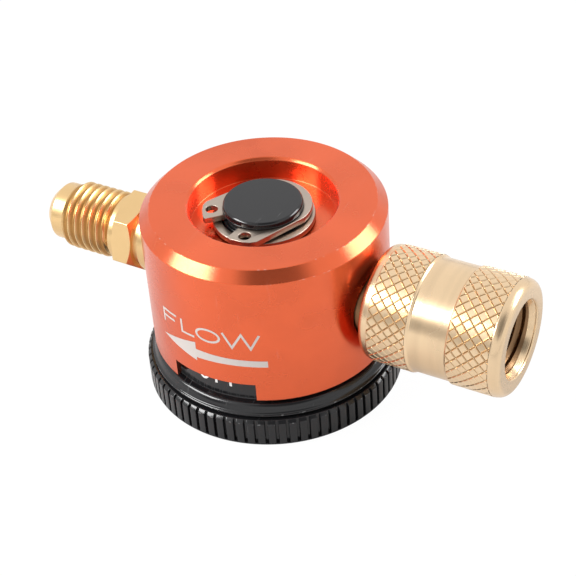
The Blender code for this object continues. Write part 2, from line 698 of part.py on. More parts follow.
def make_seat(side, rotation, parts, cutters, seat_material, seal_material):
    """A seat with a saddle end against the spindle, and the O-ring behind it."""
    seat_radius = SEAT_DIAMETER / 2
    outline = [
        (seat_radius, SEAT_END),
        (seat_radius, SPINDLE_RADIUS / 2),
        (seat_radius - SEAT_WALL, SPINDLE_RADIUS / 2),
        (seat_radius - SEAT_WALL, SEAT_END),
    ]
    place = {"location": (0, 0, PORT_HEIGHT), "rotation": rotation}
    seat = turned(f"{side}_seat", outline, SMALL_SEGMENTS, parts, closed=True, **place)
    seat.data.materials.append(seat_material)
    high = PORT_HEIGHT + SEAT_DIAMETER
    low = PORT_HEIGHT - SEAT_DIAMETER
    saddle = prism(f"{side}_saddle_cutter", SEAT_CONTACT, low, high, 4 * SPINDLE_SEGMENTS, cutters)
    boolean(seat, "DIFFERENCE", saddle)
    ring_radius = seat_radius - SEAT_O_RING_SECTION / 2
    outward = Vector((0, 0, SEAT_END + SEAL_GAP + SEAT_O_RING_SECTION / 2))
    outward.rotate(rotation)
    o_ring(
        f"{side}_seat_o_ring",
        ring_radius,
        SEAT_O_RING_SECTION,
        seal_material,
        parts,
        SMALL_SEGMENTS,
        location=outward + Vector((0, 0, PORT_HEIGHT)),
        rotation=rotation,
    )


def make_orifice(parts, pivot, material):
    """The brass jet in the braze drilling, near the end that meets the inlet at that setting."""
    radius = BRAZE_DRILLING / 2 - SEAT_GAP
    outer = SPINDLE_RADIUS - ORIFICE_SETBACK
    outline = [
        (radius, outer),
        (radius, outer - ORIFICE_LENGTH),
        (ORIFICE_BORE / 2, outer - ORIFICE_LENGTH),
        (ORIFICE_BORE / 2, outer),
    ]
    jet = turned(
        "metering_orifice",
        outline,
        SMALL_SEGMENTS,
        parts,
        closed=True,
        location=(0, 0, PORT_HEIGHT),
        rotation=Euler((0, math.pi / 2, -SETTING_STEP)),
    )
    jet.data.materials.append(material)
    jet.parent = pivot
    return jet


def spigot_outline():
    """From the edge of a fitting's collar down round its undercut and threaded spigot."""
    return [
        (COLLAR_RADIUS, COLLAR_START),
        (UNDERCUT_RADIUS, COLLAR_START),
        (UNDERCUT_RADIUS, COLLAR_START - UNDERCUT_LENGTH),
        (SPIGOT_RADIUS, COLLAR_START - UNDERCUT_LENGTH),
        (SPIGOT_RADIUS, SPIGOT_END + SPIGOT_CHAMFER),
        (SPIGOT_RADIUS - SPIGOT_CHAMFER, SPIGOT_END),
    ]


def make_port_o_ring(name, rotation, parts, material):
    """The O-ring in the undercut below a collar, in the chamfered mouth of its port."""
    ring_radius = UNDERCUT_RADIUS + SEAL_GAP + PORT_O_RING_SECTION / 2
    outward = Vector((0, 0, COLLAR_START - SEAL_GAP - PORT_O_RING_SECTION / 2))
    outward.rotate(rotation)
    o_ring(
        name,
        ring_radius,
        PORT_O_RING_SECTION,
        material,
        parts,
        SMALL_SEGMENTS,
        location=outward + Vector((0, 0, PORT_HEIGHT)),
        rotation=rotation,
    )


def make_outlet_fitting(parts, cutters, material):
    """Spigot, collar, neck, hexagon, land, flare thread and coned nose on one through bore."""
    hex_end = OUTLET_HEX_START + OUTLET_HEX_LENGTH
    land_end = hex_end + OUTLET_LAND_LENGTH
    thread_end = land_end + FLARE_THREAD_LENGTH
    nose_end = thread_end + FLARE_NOSE_LENGTH
    tip = nose_end + FLARE_CONE_LENGTH
    thread = FLARE_THREAD_RADIUS
    nose = thread - FLARE_NOSE_STEP
    land = thread - OUTLET_LAND_STEP
    neck = COLLAR_RADIUS - OUTLET_NECK_DEPTH
    neck_start = OUTLET_HEX_START - OUTLET_NECK_LENGTH
    outline = [
        (0, tip),
        (nose - FLARE_CONE_LENGTH, tip),
        (nose, nose_end),
        (nose, thread_end),
        (thread - FLARE_THREAD_CHAMFER, thread_end),
        (thread, thread_end - FLARE_THREAD_CHAMFER),
        (thread, land_end),
        (land, land_end),
        (land, OUTLET_HEX_START),
        (neck, OUTLET_HEX_START),
        (neck, neck_start),
        (COLLAR_RADIUS, neck_start),
        *spigot_outline(),
        (0, SPIGOT_END),
    ]
    place = {"location": (0, 0, PORT_HEIGHT), "rotation": OUTWARD_OUTLET}
    fitting = turned("outlet_fitting", outline, FITTING_SEGMENTS, parts, **place)
    fitting.data.materials.append(material)

    flat = OUTLET_HEX_WIDTH / 2
    corner = OUTLET_HEX_WIDTH / math.sqrt(3)
    hexagon = prism("outlet_hexagon", corner, OUTLET_HEX_START, hex_end, 6, cutters, **place)
    hexagon.rotation_euler.rotate_axis("Z", OUTLET_HEX_TURN)
    chamfer = (corner - flat) * math.tan(30 * DEG)
    blank_outline = [
        (0, hex_end + chamfer),
        (corner + chamfer, hex_end + chamfer),
        (corner + chamfer, OUTLET_HEX_START + 2 * chamfer),
        (flat, OUTLET_HEX_START),
        (flat, OUTLET_HEX_START - chamfer),
        (0, OUTLET_HEX_START - chamfer),
    ]
    boolean(hexagon, "INTERSECT", turned("hexagon_blank", blank_outline, FITTING_SEGMENTS, cutters, **place))
    boolean(fitting, "UNION", hexagon)
    beyond = tip + SEAT_DIAMETER
    bore = prism("outlet_bore_cutter", FLARE_BORE / 2, PORT_STEP / 2, beyond, BORE_SEGMENTS, cutters, **place)
    boolean(fitting, "DIFFERENCE", bore)
    return fitting


def make_inlet_stem(parts, cutters, material):
    """Spigot, collar, the shank that the nut turns on, and a head with a hexagon socket."""
    bore = STEM_BORE / 2
    collar_end = NUT_START - SEAT_GAP
    outline = [
        (STEM_HEAD_RADIUS - EDGE_CHAMFER, STEM_HEAD_END),
        (STEM_HEAD_RADIUS, STEM_HEAD_END - EDGE_CHAMFER),
        (STEM_HEAD_RADIUS, STEM_HEAD_START),
        (STEM_SHANK_RADIUS, STEM_HEAD_START),
        (STEM_SHANK_RADIUS, collar_end),
        (COLLAR_RADIUS, collar_end),
        *spigot_outline(),
        (bore, SPIGOT_END),
        (bore, STEM_HEAD_END),
    ]
    place = {"location": (0, 0, PORT_HEIGHT), "rotation": OUTWARD_INLET}
    stem = turned("inlet_stem", outline, BORE_SEGMENTS, parts, closed=True, **place)
    stem.data.materials.append(material)
    corner = STEM_SOCKET_WIDTH / math.sqrt(3)
    floor = STEM_HEAD_END - STEM_SOCKET_DEPTH
    socket = prism("socket_cutter", corner, floor, STEM_HEAD_END + STEM_SOCKET_DEPTH, 6, cutters, **place)
    boolean(stem, "DIFFERENCE", socket)
    return stem


def make_inlet_gasket(parts, material):
    radius = NUT_THREAD_RADIUS - SEAT_GAP
    end = GASKET_START + GASKET_THICKNESS
    outline = [
        (radius, end),
        (radius, GASKET_START),
        (GASKET_BORE / 2, GASKET_START),
        (GASKET_BORE / 2, end),
    ]
    place = {"location": (0, 0, PORT_HEIGHT), "rotation": OUTWARD_INLET}
    gasket = turned("inlet_gasket", outline, BORE_SEGMENTS, parts, closed=True, **place)
    gasket.data.materials.append(material)
    return gasket


def nut_outline():
    """Outside of the nut from its mouth back to its rear face, then its inside from the rear out."""
    end = NUT_START + NUT_LENGTH
    outer = NUT_DIAMETER / 2
    front = outer - NUT_FRONT_STEP
    band = outer - NUT_BAND_DEPTH
    band_start = NUT_START + NUT_BAND_START
    band_end = band_start + NUT_BAND_LENGTH
    turns = [i * math.pi / 2 / NUT_ROUNDING_STEPS for i in range(NUT_ROUNDING_STEPS + 1)]
    rounding = [
        (front + (outer - front) * math.sin(turn), end - NUT_FRONT_ROUNDING * (1 - math.cos(turn)))
        for turn in turns
    ]
    shank_hole = STEM_SHANK_RADIUS + SEAT_GAP
    chamber = NUT_THREAD_RADIUS + NUT_CHAMBER_RELIEF
    return [
        (NUT_THREAD_RADIUS + NUT_MOUTH_CHAMFER, end),
        *rounding,
        (outer, band_end + NUT_BAND_DEPTH),
        (band, band_end),
        (band, band_start),
        (outer, band_start - NUT_BAND_DEPTH),
        (outer, NUT_START + NUT_BACK_CHAMFER),
        (outer - NUT_BACK_CHAMFER, NUT_START),
        (shank_hole, NUT_START),
        (shank_hole, NUT_CHAMBER_START),
        (chamber, NUT_CHAMBER_START),
        (chamber, NUT_CHAMBER_END),
        (NUT_THREAD_RADIUS, NUT_CHAMBER_END),
        (NUT_THREAD_RADIUS, end - NUT_MOUTH_CHAMFER),
    ]


def make_swivel_nut(parts, pivot, material):
    nut = turned("swivel_nut", nut_outline(), NUT_SEGMENTS, parts, closed=True, rotation=OUTWARD_INLET)
    nut.data.materials.append(material)
    nut.parent = pivot
    return nut


def make_pivot(name, collection, location=(0, 0, 0)):
    """An empty on a joint's axis, which carries the pieces that turn together."""
    return add_object(name, None, collection, location=location)


def main():
    clear_scene()
    parts = make_collection("nitrogen_flow_regulator")
    cutters = make_collection("cutters")
    orange = make_material("orange_anodised", (0.80, 0.13, 0.05), 0.30, 1.0)
    black = make_material("black_anodised", (0.02, 0.02, 0.022), 0.28, 0.6)
    brass = make_material("brass", (0.80, 0.56, 0.30), 0.28, 1.0)
    steel = make_material("spring_steel", (0.40, 0.36, 0.31), 0.35, 1.0)
    rubber = make_material("seal_rubber", (0.015, 0.015, 0.015), 0.7, 0.0)
    plastic = make_material("seat_plastic", (0.75, 0.75, 0.72), 0.45, 0.0)

    dial_pivot = make_pivot("dial_pivot", parts)
    nut_pivot = make_pivot("nut_pivot", parts, location=(0, 0, PORT_HEIGHT))
    make_housing(parts, cutters, orange)
    make_dial(parts, cutters, dial_pivot, black)
    make_retaining_ring(parts, dial_pivot, steel)
    make_thrust_washer(parts, steel)
    make_spindle_o_rings(parts, dial_pivot, rubber)
    make_orifice(parts, dial_pivot, brass)
    make_detent_ball(parts, steel)
    make_detent_spring(parts, steel)
    make_stop_pin(parts, steel)
    make_seat("inlet", OUTWARD_INLET, parts, cutters, plastic, rubber)
    make_seat("outlet", OUTWARD_OUTLET, parts, cutters, plastic, rubber)
    make_outlet_fitting(parts, cutters, brass)
    make_port_o_ring("outlet_fitting_o_ring", OUTWARD_OUTLET, parts, rubber)
    make_inlet_stem(parts, cutters, brass)
    make_port_o_ring("inlet_stem_o_ring", OUTWARD_INLET, parts, rubber)
    make_swivel_nut(parts, nut_pivot, brass)
    make_inlet_gasket(parts, rubber)


if __name__ == "__main__":
    main()
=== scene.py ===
"""Nitrogen flow regulator: fine turned, threaded and knurled pieces, their finishes and a photo stage.

Metres, +Z up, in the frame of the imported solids. The dial's axis is the Z axis, and the ports lie
along the X line at PORT_HEIGHT, with the swivel nut at +X and the flare outlet at -X.
"""

import math

import bmesh
import bpy
from bpy.props import FloatProperty, FloatVectorProperty, IntProperty, PointerProperty
from bpy.types import Operator, Panel, PropertyGroup
from mathutils import Matrix, Vector


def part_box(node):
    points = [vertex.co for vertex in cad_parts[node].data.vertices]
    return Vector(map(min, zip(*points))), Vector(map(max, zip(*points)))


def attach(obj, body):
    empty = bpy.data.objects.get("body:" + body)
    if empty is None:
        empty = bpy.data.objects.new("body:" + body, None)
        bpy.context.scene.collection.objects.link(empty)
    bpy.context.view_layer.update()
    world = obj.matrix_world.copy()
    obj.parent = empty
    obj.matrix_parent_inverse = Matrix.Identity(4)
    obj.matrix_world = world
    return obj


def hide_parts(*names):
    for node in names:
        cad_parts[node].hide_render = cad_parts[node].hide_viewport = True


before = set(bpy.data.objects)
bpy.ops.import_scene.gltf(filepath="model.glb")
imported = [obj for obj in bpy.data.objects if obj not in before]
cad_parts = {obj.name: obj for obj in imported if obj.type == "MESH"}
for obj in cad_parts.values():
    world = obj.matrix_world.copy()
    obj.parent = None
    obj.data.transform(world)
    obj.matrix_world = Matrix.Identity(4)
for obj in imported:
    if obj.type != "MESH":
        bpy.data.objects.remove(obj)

bl_info = {
    "name": "Nitrogen Flow Regulator",
    "version": (1, 0, 0),
    "blender": (4, 5, 0),
    "location": "3D View > Sidebar > Regulator",
    "description": "Builds the pieces, finishes and photo stage of an in-line gas flow regulator",
    "category": "Object",
}

MM = 0.001
DEG = math.pi / 180.0
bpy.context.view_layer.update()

# Places and sizes that several pieces share
NUT_LOW, NUT_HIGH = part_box("swivel_nut")
HOUSING_LOW, HOUSING_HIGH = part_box("housing")
PORT_HEIGHT = (NUT_LOW.z + NUT_HIGH.z) / 2
HOUSING_RADIUS = HOUSING_HIGH.x
LEGEND_RADIUS = 17.7 * MM
SPINDLE_BORE = 6.55 * MM
DETENT_CIRCLE = 13.0 * MM
DETENT_DIRECTION = 90.0 * DEG
STOP_DIRECTION = -90.0 * DEG
SETTING_STEP = 60.0 * DEG
FRONT = -90.0 * DEG


# Points and outlines


def round_dial(radius, height, angle):
    """A point by its distance from the dial's axis, its height and its direction."""
    return Vector((radius * math.cos(angle), radius * math.sin(angle), height))


def round_inlet(radius, outward, angle):
    """A point by its distance from the ports' line, its place along +X and its angle above the front."""
    return Vector((outward, -radius * math.cos(angle), PORT_HEIGHT + radius * math.sin(angle)))


def round_outlet(radius, outward, angle):
    """The same along -X."""
    return Vector((-outward, -radius * math.cos(angle), PORT_HEIGHT + radius * math.sin(angle)))


def stepped(start, *steps):
    """Outline points by their distances in millimetres from a start point."""
    return [(start[0] + across * MM, start[1] + along * MM) for across, along in steps]


def in_mm(*points):
    """Outline points in millimetres from the axis and the origin."""
    return stepped((0.0, 0.0), *points)


def arc(centre, radius, first, last, steps):
    """Points along an arc, with both its ends."""
    turns = [first + (last - first) * i / steps for i in range(steps + 1)]
    return [(centre[0] + radius * math.cos(turn), centre[1] + radius * math.sin(turn)) for turn in turns]


def oval(centre, half_width, half_height, steps):
    across, up = centre
    turns = [2 * math.pi * i / steps for i in range(steps)]
    return [(across + half_width * math.cos(turn), up + half_height * math.sin(turn)) for turn in turns]


def eased(outline, radius, steps=3, closed=True):
    """Round the corners of an outline, by at most a given radius at each."""
    points = [Vector(point) for point in outline]
    count = len(points)
    result = []
    for i, corner in enumerate(points):
        if not closed and i in (0, count - 1):
            result.append(tuple(corner))
            continue
        before = points[i - 1] - corner
        after = points[(i + 1) % count] - corner
        reach = min(radius, 0.45 * before.length, 0.45 * after.length)
        straight = before.normalized().dot(after.normalized())
        if straight < -0.995 or reach <= 0:
            result.append(tuple(corner))
            continue
        start = corner + before.normalized() * reach
        end = corner + after.normalized() * reach
        for step in range(steps + 1):
            t = step / steps
            result.append(tuple(start * (1 - t) ** 2 + corner * 2 * t * (1 - t) + end * t**2))
    return result


# Turning, cutting and smoothing of meshes


def skin(rings, loop=False):
    """Faces over rings of points. A ring of one point closes an end, and a loop joins last to first."""
    shape = bmesh.new()
    verts = [[shape.verts.new(point) for point in ring] for ring in rings]
    pairs = list(zip(verts, verts[1:]))
    if loop:
        pairs.append((verts[-1], verts[0]))
    for low, high in pairs:
        count = max(len(low), len(high))
        for i in range(count):
            j = (i + 1) % count
            if len(low) == 1:
                shape.faces.new((low[0], high[j], high[i]))
            elif len(high) == 1:
                shape.faces.new((low[i], low[j], high[0]))
            else:
                shape.faces.new((low[i], low[j], high[j], high[i]))
    bmesh.ops.recalc_face_normals(shape, faces=shape.faces)
    return shape


def capped(rings):
    """A skin with a flat face over each open end."""
    shape = skin(rings)
    bmesh.ops.contextual_create(shape, geom=[edge for edge in shape.edges if edge.is_boundary])
    return shape


def to_mesh(name, shape):
    mesh = bpy.data.meshes.new(name)
    shape.to_mesh(mesh)
    shape.free()
    return mesh


def turned_ring(radius, distance, place, turns):
    """A ring of points round one of the regulator's two axes, or one point on the axis."""
    if radius < 1e-7:
        return [place(0, distance, 0)]
    return [place(radius, distance, turn) for turn in turns]


def turned(name, outline, place, segments, closed=True):
    """Turn an outline of (radius, distance) points round one of the regulator's two axes."""
    turns = [2 * math.pi * i / segments for i in range(segments)]
    rings = [turned_ring(radius, distance, place, turns) for radius, distance in outline]
    return to_mesh(name, skin(rings, loop=closed))


def scratch_object(data):
    obj = bpy.data.objects.new(data.name, data)
    bpy.context.scene.collection.objects.link(obj)
    return obj


def evaluated_mesh(obj):
    """A new mesh of what an object's modifiers or curve settings make."""
    bpy.context.view_layer.update()
    graph = bpy.context.evaluated_depsgraph_get()
    return bpy.data.meshes.new_from_object(obj.evaluated_get(graph))


def carved(mesh, *tools, operation="DIFFERENCE"):
    """Cut tool meshes from a mesh, join them to it or keep what they share with it, in order."""
    obj = scratch_object(mesh)
    helpers = [scratch_object(tool) for tool in tools]
    for helper in helpers:
        modifier = obj.modifiers.new(helper.name, "BOOLEAN")
        modifier.operation = operation
        modifier.solver = "EXACT"
        modifier.object = helper
    result = evaluated_mesh(obj)
    for helper in (obj, *helpers):
        bpy.data.objects.remove(helper, do_unlink=True)
    return result


def add_piece(name, mesh, body, finish_name, nodes=(), sharp=32.0, weighted=True):
    """Shade and finish a mesh, and set it on its body in place of the nodes that it stands for."""
    mesh.name = name
    mesh.shade_smooth()
    mesh.set_sharp_from_angle(angle=sharp * DEG)
    mesh.materials.clear()
    mesh.materials.append(finish(finish_name))
    obj = scratch_object(mesh)
    obj.name = name
    if weighted:
        modifier = obj.modifiers.new("face_weighted_shading", "WEIGHTED_NORMAL")
        modifier.keep_sharp = True
        shaded = evaluated_mesh(obj)
        obj.modifiers.clear()
        obj.data = shaded
        shaded.name = name
    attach(obj, body)
    if nodes:
        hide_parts(*nodes)


def turned_tool(name, outline, place, segments=128):
    """A solid of revolution from an outline that starts and ends on the axis."""
    return turned(name, outline, place, segments, closed=False)


def cylinder_tool(name, place, radius, start, end, segments):
    return turned_tool(name, [(0, start), (radius, start), (radius, end), (0, end)], place, segments)


def ball_tool(name, radius, centre):
    outline = [(0, -radius), *arc((0, 0), radius, -80 * DEG, 80 * DEG, 16), (0, radius)]
    tool = turned_tool(name, outline, round_dial, 36)
    tool.transform(Matrix.Translation(centre))
    return tool


def kidney_tool(name, middle, half_width, first, last, low, high):
    """A slot with round ends that follows a circle about the dial's axis."""
    ends = [(middle * math.cos(angle), middle * math.sin(angle)) for angle in (first, last)]
    points = [
        *arc((0, 0), middle + half_width, first, last, 40),
        *arc(ends[1], half_width, last, last + math.pi, 12)[1:-1],
        *arc((0, 0), middle - half_width, last, first, 40),
        *arc(ends[0], half_width, first + math.pi, first + 2 * math.pi, 12)[1:-1],
    ]
    shape = capped([[Vector((x, y, height)) for x, y in points] for height in (low, high)])
    bmesh.ops.recalc_face_normals(shape, faces=shape.faces)
    return to_mesh(name, shape)


def box_tool(name, low, high):
    shape = bmesh.new()
    bmesh.ops.create_cube(shape, size=1)
    bmesh.ops.scale(shape, vec=Vector(high) - Vector(low), verts=shape.verts)
    bmesh.ops.translate(shape, vec=(Vector(high) + Vector(low)) / 2, verts=shape.verts)
    return to_mesh(name, shape)


# One pitch of a thread, as (share of the pitch, height above the root) knots
THREAD_SHAPE = [
    (0.0, 1.0), (0.035, 0.99), (0.065, 0.93), (0.33, 0.13), (0.41, 0.02),
    (0.5, 0.0), (0.59, 0.02), (0.67, 0.13), (0.935, 0.93), (0.965, 0.99),
]


def helix(name, place, start, end, pitch, root, crest, limit, phase=0.0, columns=96, hand=1):
    """A screw thread's skin from its root radius to its crest radius, kept within a limit on the radius."""
    knots = [(share, root + height * (crest - root), 1 - height) for share, height in THREAD_SHAPE]
    turns = int((end - start) / pitch) + 4
    shape = bmesh.new()
    # Each vertex's depth below the crest, which the finish paints as shade in the valleys
    layer = shape.verts.layers.float.new("groove")
    grid = []
    for j in range(columns):
        column = []
        for row in range(turns * len(knots)):
            turn, k = divmod(row, len(knots))
            share, radius, depth = knots[k]
            distance = start + pitch * (turn - 2 + share + phase + j / columns)
            distance = min(max(distance, start), end)
            vert = shape.verts.new(place(limit(distance, radius), distance, hand * 2 * math.pi * j / columns))
            vert[layer] = depth
            column.append(vert)
        grid.append(column)
    rows = len(grid[0])
    for j in range(columns):
        shift = len(knots) if j == columns - 1 else 0
        here, beside = grid[j], grid[(j + 1) % columns]
        for row in range(rows - 1 - shift):
            shape.faces.new((here[row], beside[row + shift], beside[row + shift + 1], here[row + 1]))
    bmesh.ops.remove_doubles(shape, verts=shape.verts, dist=2e-6)
    bmesh.ops.dissolve_degenerate(shape, edges=shape.edges, dist=1e-6)
    loose = [vert for vert in shape.verts if not vert.link_faces]
    bmesh.ops.delete(shape, geom=loose, context="VERTS")
    bmesh.ops.recalc_face_normals(shape, faces=shape.faces)
    return to_mesh(name, shape)


# Shader node groups, each made once


class Nodes:
    """Adds nodes to a tree, with their inputs linked to other nodes or set to plain values."""

    def __init__(self, tree):
        self.tree = tree

    def feed(self, value, socket):
        if isinstance(value, bpy.types.NodeSocket):
            self.tree.links.new(value, socket)
        else:
            socket.default_value = value

    def add(self, kind, inputs=None, **settings):
        """A node with its settings, and its inputs by name or place."""
        node = self.tree.nodes.new(kind)
        for key, value in settings.items():
            setattr(node, key, value)
        for key, value in (inputs or {}).items():
            self.feed(value, node.inputs[key])
        return node

    def math(self, operation, a, b=0.0, c=0.0, clamp=False):
        return self.add("ShaderNodeMath", {0: a, 1: b, 2: c}, operation=operation, use_clamp=clamp).outputs[0]

    def hypotenuse(self, a, b):
        return self.math("SQRT", self.math("ADD", self.math("MULTIPLY", a, a), self.math("MULTIPLY", b, b)))

    def ramp(self, value, low, high, to_low=0.0, to_high=1.0):
        inputs = {"Value": value, "From Min": low, "From Max": high, "To Min": to_low, "To Max": to_high}
        return self.add("ShaderNodeMapRange", inputs, interpolation_type="SMOOTHSTEP").outputs["Result"]

    def mix(self, factor, a, b):
        return self.add("ShaderNodeMix", {0: factor, 6: a, 7: b}, data_type="RGBA").outputs[2]

    def noise(self, position, scale, detail=2.0, roughness=0.5, dimensions="3D"):
        inputs = {"Vector": position, "Scale": scale, "Detail": detail, "Roughness": roughness}
        return self.add("ShaderNodeTexNoise", inputs, noise_dimensions=dimensions).outputs[0]

    def group(self, maker, inputs):
        """The outputs of a shared node group, which is built when the first material asks for it."""
        tree = bpy.data.node_groups.get(maker.__name__) or maker(maker.__name__)
        return self.add("ShaderNodeGroup", inputs, node_tree=tree).outputs


def new_group(name, values, outputs):
    """A shader group that takes a position and named values, with its node adder and its two ends."""
    tree = bpy.data.node_groups.new(name, "ShaderNodeTree")
    tree.interface.new_socket(name="Position", in_out="INPUT", socket_type="NodeSocketVector")
    for value_name, default in values.items():
        socket = tree.interface.new_socket(name=value_name, in_out="INPUT", socket_type="NodeSocketFloat")
        socket.default_value = default
    for output_name in outputs:
        tree.interface.new_socket(name=output_name, in_out="OUTPUT", socket_type="NodeSocketFloat")
    nodes = Nodes(tree)
    return nodes, nodes.add("NodeGroupInput").outputs, nodes.add("NodeGroupOutput").inputs


def turning_lines(name):
    """Fine lathe lines: rings on faces and bands along sides, round the position's Z axis."""
    nodes, given, output = new_group(name, {"Lines a Metre": 4000.0, "Unevenness": 0.5}, ["Height", "Band"])
    parts = nodes.add("ShaderNodeSeparateXYZ", {0: given["Position"]}).outputs
    radius = nodes.hypotenuse(parts[0], parts[1])
    across = nodes.add("ShaderNodeCombineXYZ", {"X": radius, "Y": parts[2]}).outputs[0]
    fine = nodes.noise(across, given["Lines a Metre"], 3.0, 0.7, "2D")
    wide = nodes.noise(across, nodes.math("MULTIPLY", given["Lines a Metre"], 0.13), dimensions="2D")
    band = nodes.math("MULTIPLY", nodes.math("SUBTRACT", wide, 0.5), given["Unevenness"])
    nodes.feed(fine, output["Height"])
    nodes.feed(nodes.math("ADD", band, 0.5, clamp=True), output["Band"])
    return nodes.tree


def handling_marks(name):
    """Slow cloudiness from fingers and wiping, and a few fine scratches."""
    nodes, given, output = new_group(name, {"Size": 150.0, "Scratches": 0.3}, ["Cloud", "Scratch"])
    stretch = {"Vector": given["Position"], "Rotation": (0.7, 0.4, 0.9), "Scale": (9.0, 0.9, 0.9)}
    streak = nodes.noise(nodes.add("ShaderNodeMapping", stretch).outputs[0], given["Size"], 5.0)
    nodes.feed(nodes.noise(given["Position"], given["Size"], 4.0), output["Cloud"])
    nodes.feed(nodes.math("MULTIPLY", nodes.ramp(streak, 0.66, 0.74), given["Scratches"]), output["Scratch"])
    return nodes.tree


def edge_nicks(name):
    """Small bright nicks along one turned edge, given by its radius and height."""
    values = {"Edge Radius": 0.019, "Edge Height": 0.03, "Reach": 0.00012, "Amount": 0.35}
    nodes, given, output = new_group(name, values, ["Nick"])
    parts = nodes.add("ShaderNodeSeparateXYZ", {0: given["Position"]}).outputs
    off_radius = nodes.math("SUBTRACT", nodes.hypotenuse(parts[0], parts[1]), given["Edge Radius"])
    off_height = nodes.math("SUBTRACT", parts[2], given["Edge Height"])
    share = nodes.math("DIVIDE", nodes.hypotenuse(off_radius, off_height), given["Reach"])
    closeness = nodes.math("SUBTRACT", 1.0, share, clamp=True)
    picked = nodes.ramp(nodes.noise(given["Position"], 1400.0), 0.56, 0.66)
    nick = nodes.math("MULTIPLY", nodes.math("MULTIPLY", closeness, picked), given["Amount"], clamp=True)
    nodes.feed(nick, output["Nick"])
    return nodes.tree


# Finishes


def start_material(name):
    """A fresh material with its node adder, its main shader and the object's position."""
    material = bpy.data.materials.new(name)
    material.use_nodes = True
    nodes = Nodes(material.node_tree)
    shader = material.node_tree.nodes["Principled BSDF"]
    return material, nodes, shader, nodes.add("ShaderNodeTexCoord").outputs["Object"]


def dress(nodes, shader, base, roughness, height, relief):
    """Give a shader its colour and roughness, and a bump of a depth in millimetres."""
    bump = nodes.add("ShaderNodeBump", {"Height": height, "Strength": 1.0, "Distance": relief * MM})
    nodes.feed(base, shader.inputs["Base Color"])
    nodes.feed(roughness, shader.inputs["Roughness"])
    nodes.feed(bump.outputs[0], shader.inputs["Normal"])


def opaque(colour, level=1.0):
    return tuple(channel * level for channel in colour) + (1.0,)


def turned_finish(
    name,
    colour,
    roughness,
    lines,
    relief,
    contrast,
    scratches,
    metallic=1.0,
    along_ports=False,
    unevenness=0.5,
    anisotropy=0.0,
    edges=(),
    nick_colour=(0.9, 0.85, 0.8),
    groove=None,
    coat=0.0,
):
    """A turned metal surface: lathe lines, slow cloudiness, scratches, and nicks along given edges.

    The relief is in millimetres. A groove is a darker colour painted into deep cuts as painted shade, partly
    dirt in the knurl, then the depths where that starts and is full, and its share there.
    """
    material, nodes, shader, position = start_material(name)
    axial = position
    if along_ports:
        turn = {"Vector": position, "Rotation": (0, -math.pi / 2, 0), "Location": (PORT_HEIGHT, 0, 0)}
        axial = nodes.add("ShaderNodeMapping", turn).outputs[0]
    lathe = nodes.group(turning_lines, {"Position": axial, "Lines a Metre": lines, "Unevenness": unevenness})
    marks = nodes.group(handling_marks, {"Position": position, "Scratches": scratches})

    tone = nodes.math("MULTIPLY", lathe["Band"], contrast * 2)
    base = nodes.mix(tone, opaque(colour, 1 + contrast / 3), opaque(colour, 1 - contrast))
    base = nodes.mix(nodes.ramp(marks["Cloud"], 0.35, 0.7, 0.0, 0.35), base, opaque(colour, 0.88))
    base = nodes.mix(marks["Scratch"], base, opaque(nick_colour))
    for radius, height in edges:
        nicks = nodes.group(edge_nicks, {"Position": axial, "Edge Radius": radius, "Edge Height": height})
        base = nodes.mix(nicks["Nick"], base, opaque(nick_colour))
    uneven = nodes.math("MULTIPLY_ADD", nodes.math("SUBTRACT", marks["Cloud"], 0.5), 0.22, roughness)
    uneven = nodes.math("MULTIPLY_ADD", marks["Scratch"], 0.15, uneven)
    # Painted shade in deep cuts: the deeper a vertex lies, the more its colour goes to the groove's darker
    # colour
    if groove:
        groove_dirt_and_shade_colour, shallow, deep, share = groove
        depth = nodes.add("ShaderNodeAttribute", attribute_name="groove").outputs["Fac"]
        cut = nodes.ramp(depth, shallow, deep, 0.0, share)
        base = nodes.mix(cut, base, opaque(groove_dirt_and_shade_colour))
        uneven = nodes.math("MULTIPLY_ADD", cut, 0.25, uneven)
    dress(nodes, shader, base, uneven, lathe["Height"], relief)

    shader.inputs["Metallic"].default_value = metallic
    shader.inputs["Coat Weight"].default_value = coat
    shader.inputs["Coat Roughness"].default_value = roughness * 0.7
    if anisotropy:
        shader.inputs["Anisotropic"].default_value = anisotropy
        shader.inputs["Anisotropic Rotation"].default_value = 0.25
        tangent = nodes.add("ShaderNodeTangent", direction_type="RADIAL", axis="X" if along_ports else "Z")
        nodes.feed(tangent.outputs[0], shader.inputs["Tangent"])
    return material


def soft_finish(name, colour, roughness, contrast):
    """A moulded rubber or plastic surface, or paint: fine grain and slow cloudiness."""
    material, nodes, shader, position = start_material(name)
    marks = nodes.group(handling_marks, {"Position": position, "Size": 300.0, "Scratches": 0.1})
    base = nodes.mix(marks["Cloud"], opaque(colour, 1 + contrast / 2), opaque(colour, 1 - contrast / 2))
    grain = nodes.noise(position, 2500.0)
    uneven = nodes.math("MULTIPLY_ADD", nodes.math("SUBTRACT", grain, 0.5), 0.2, roughness)
    dress(nodes, shader, base, uneven, grain, 0.01)
    return material


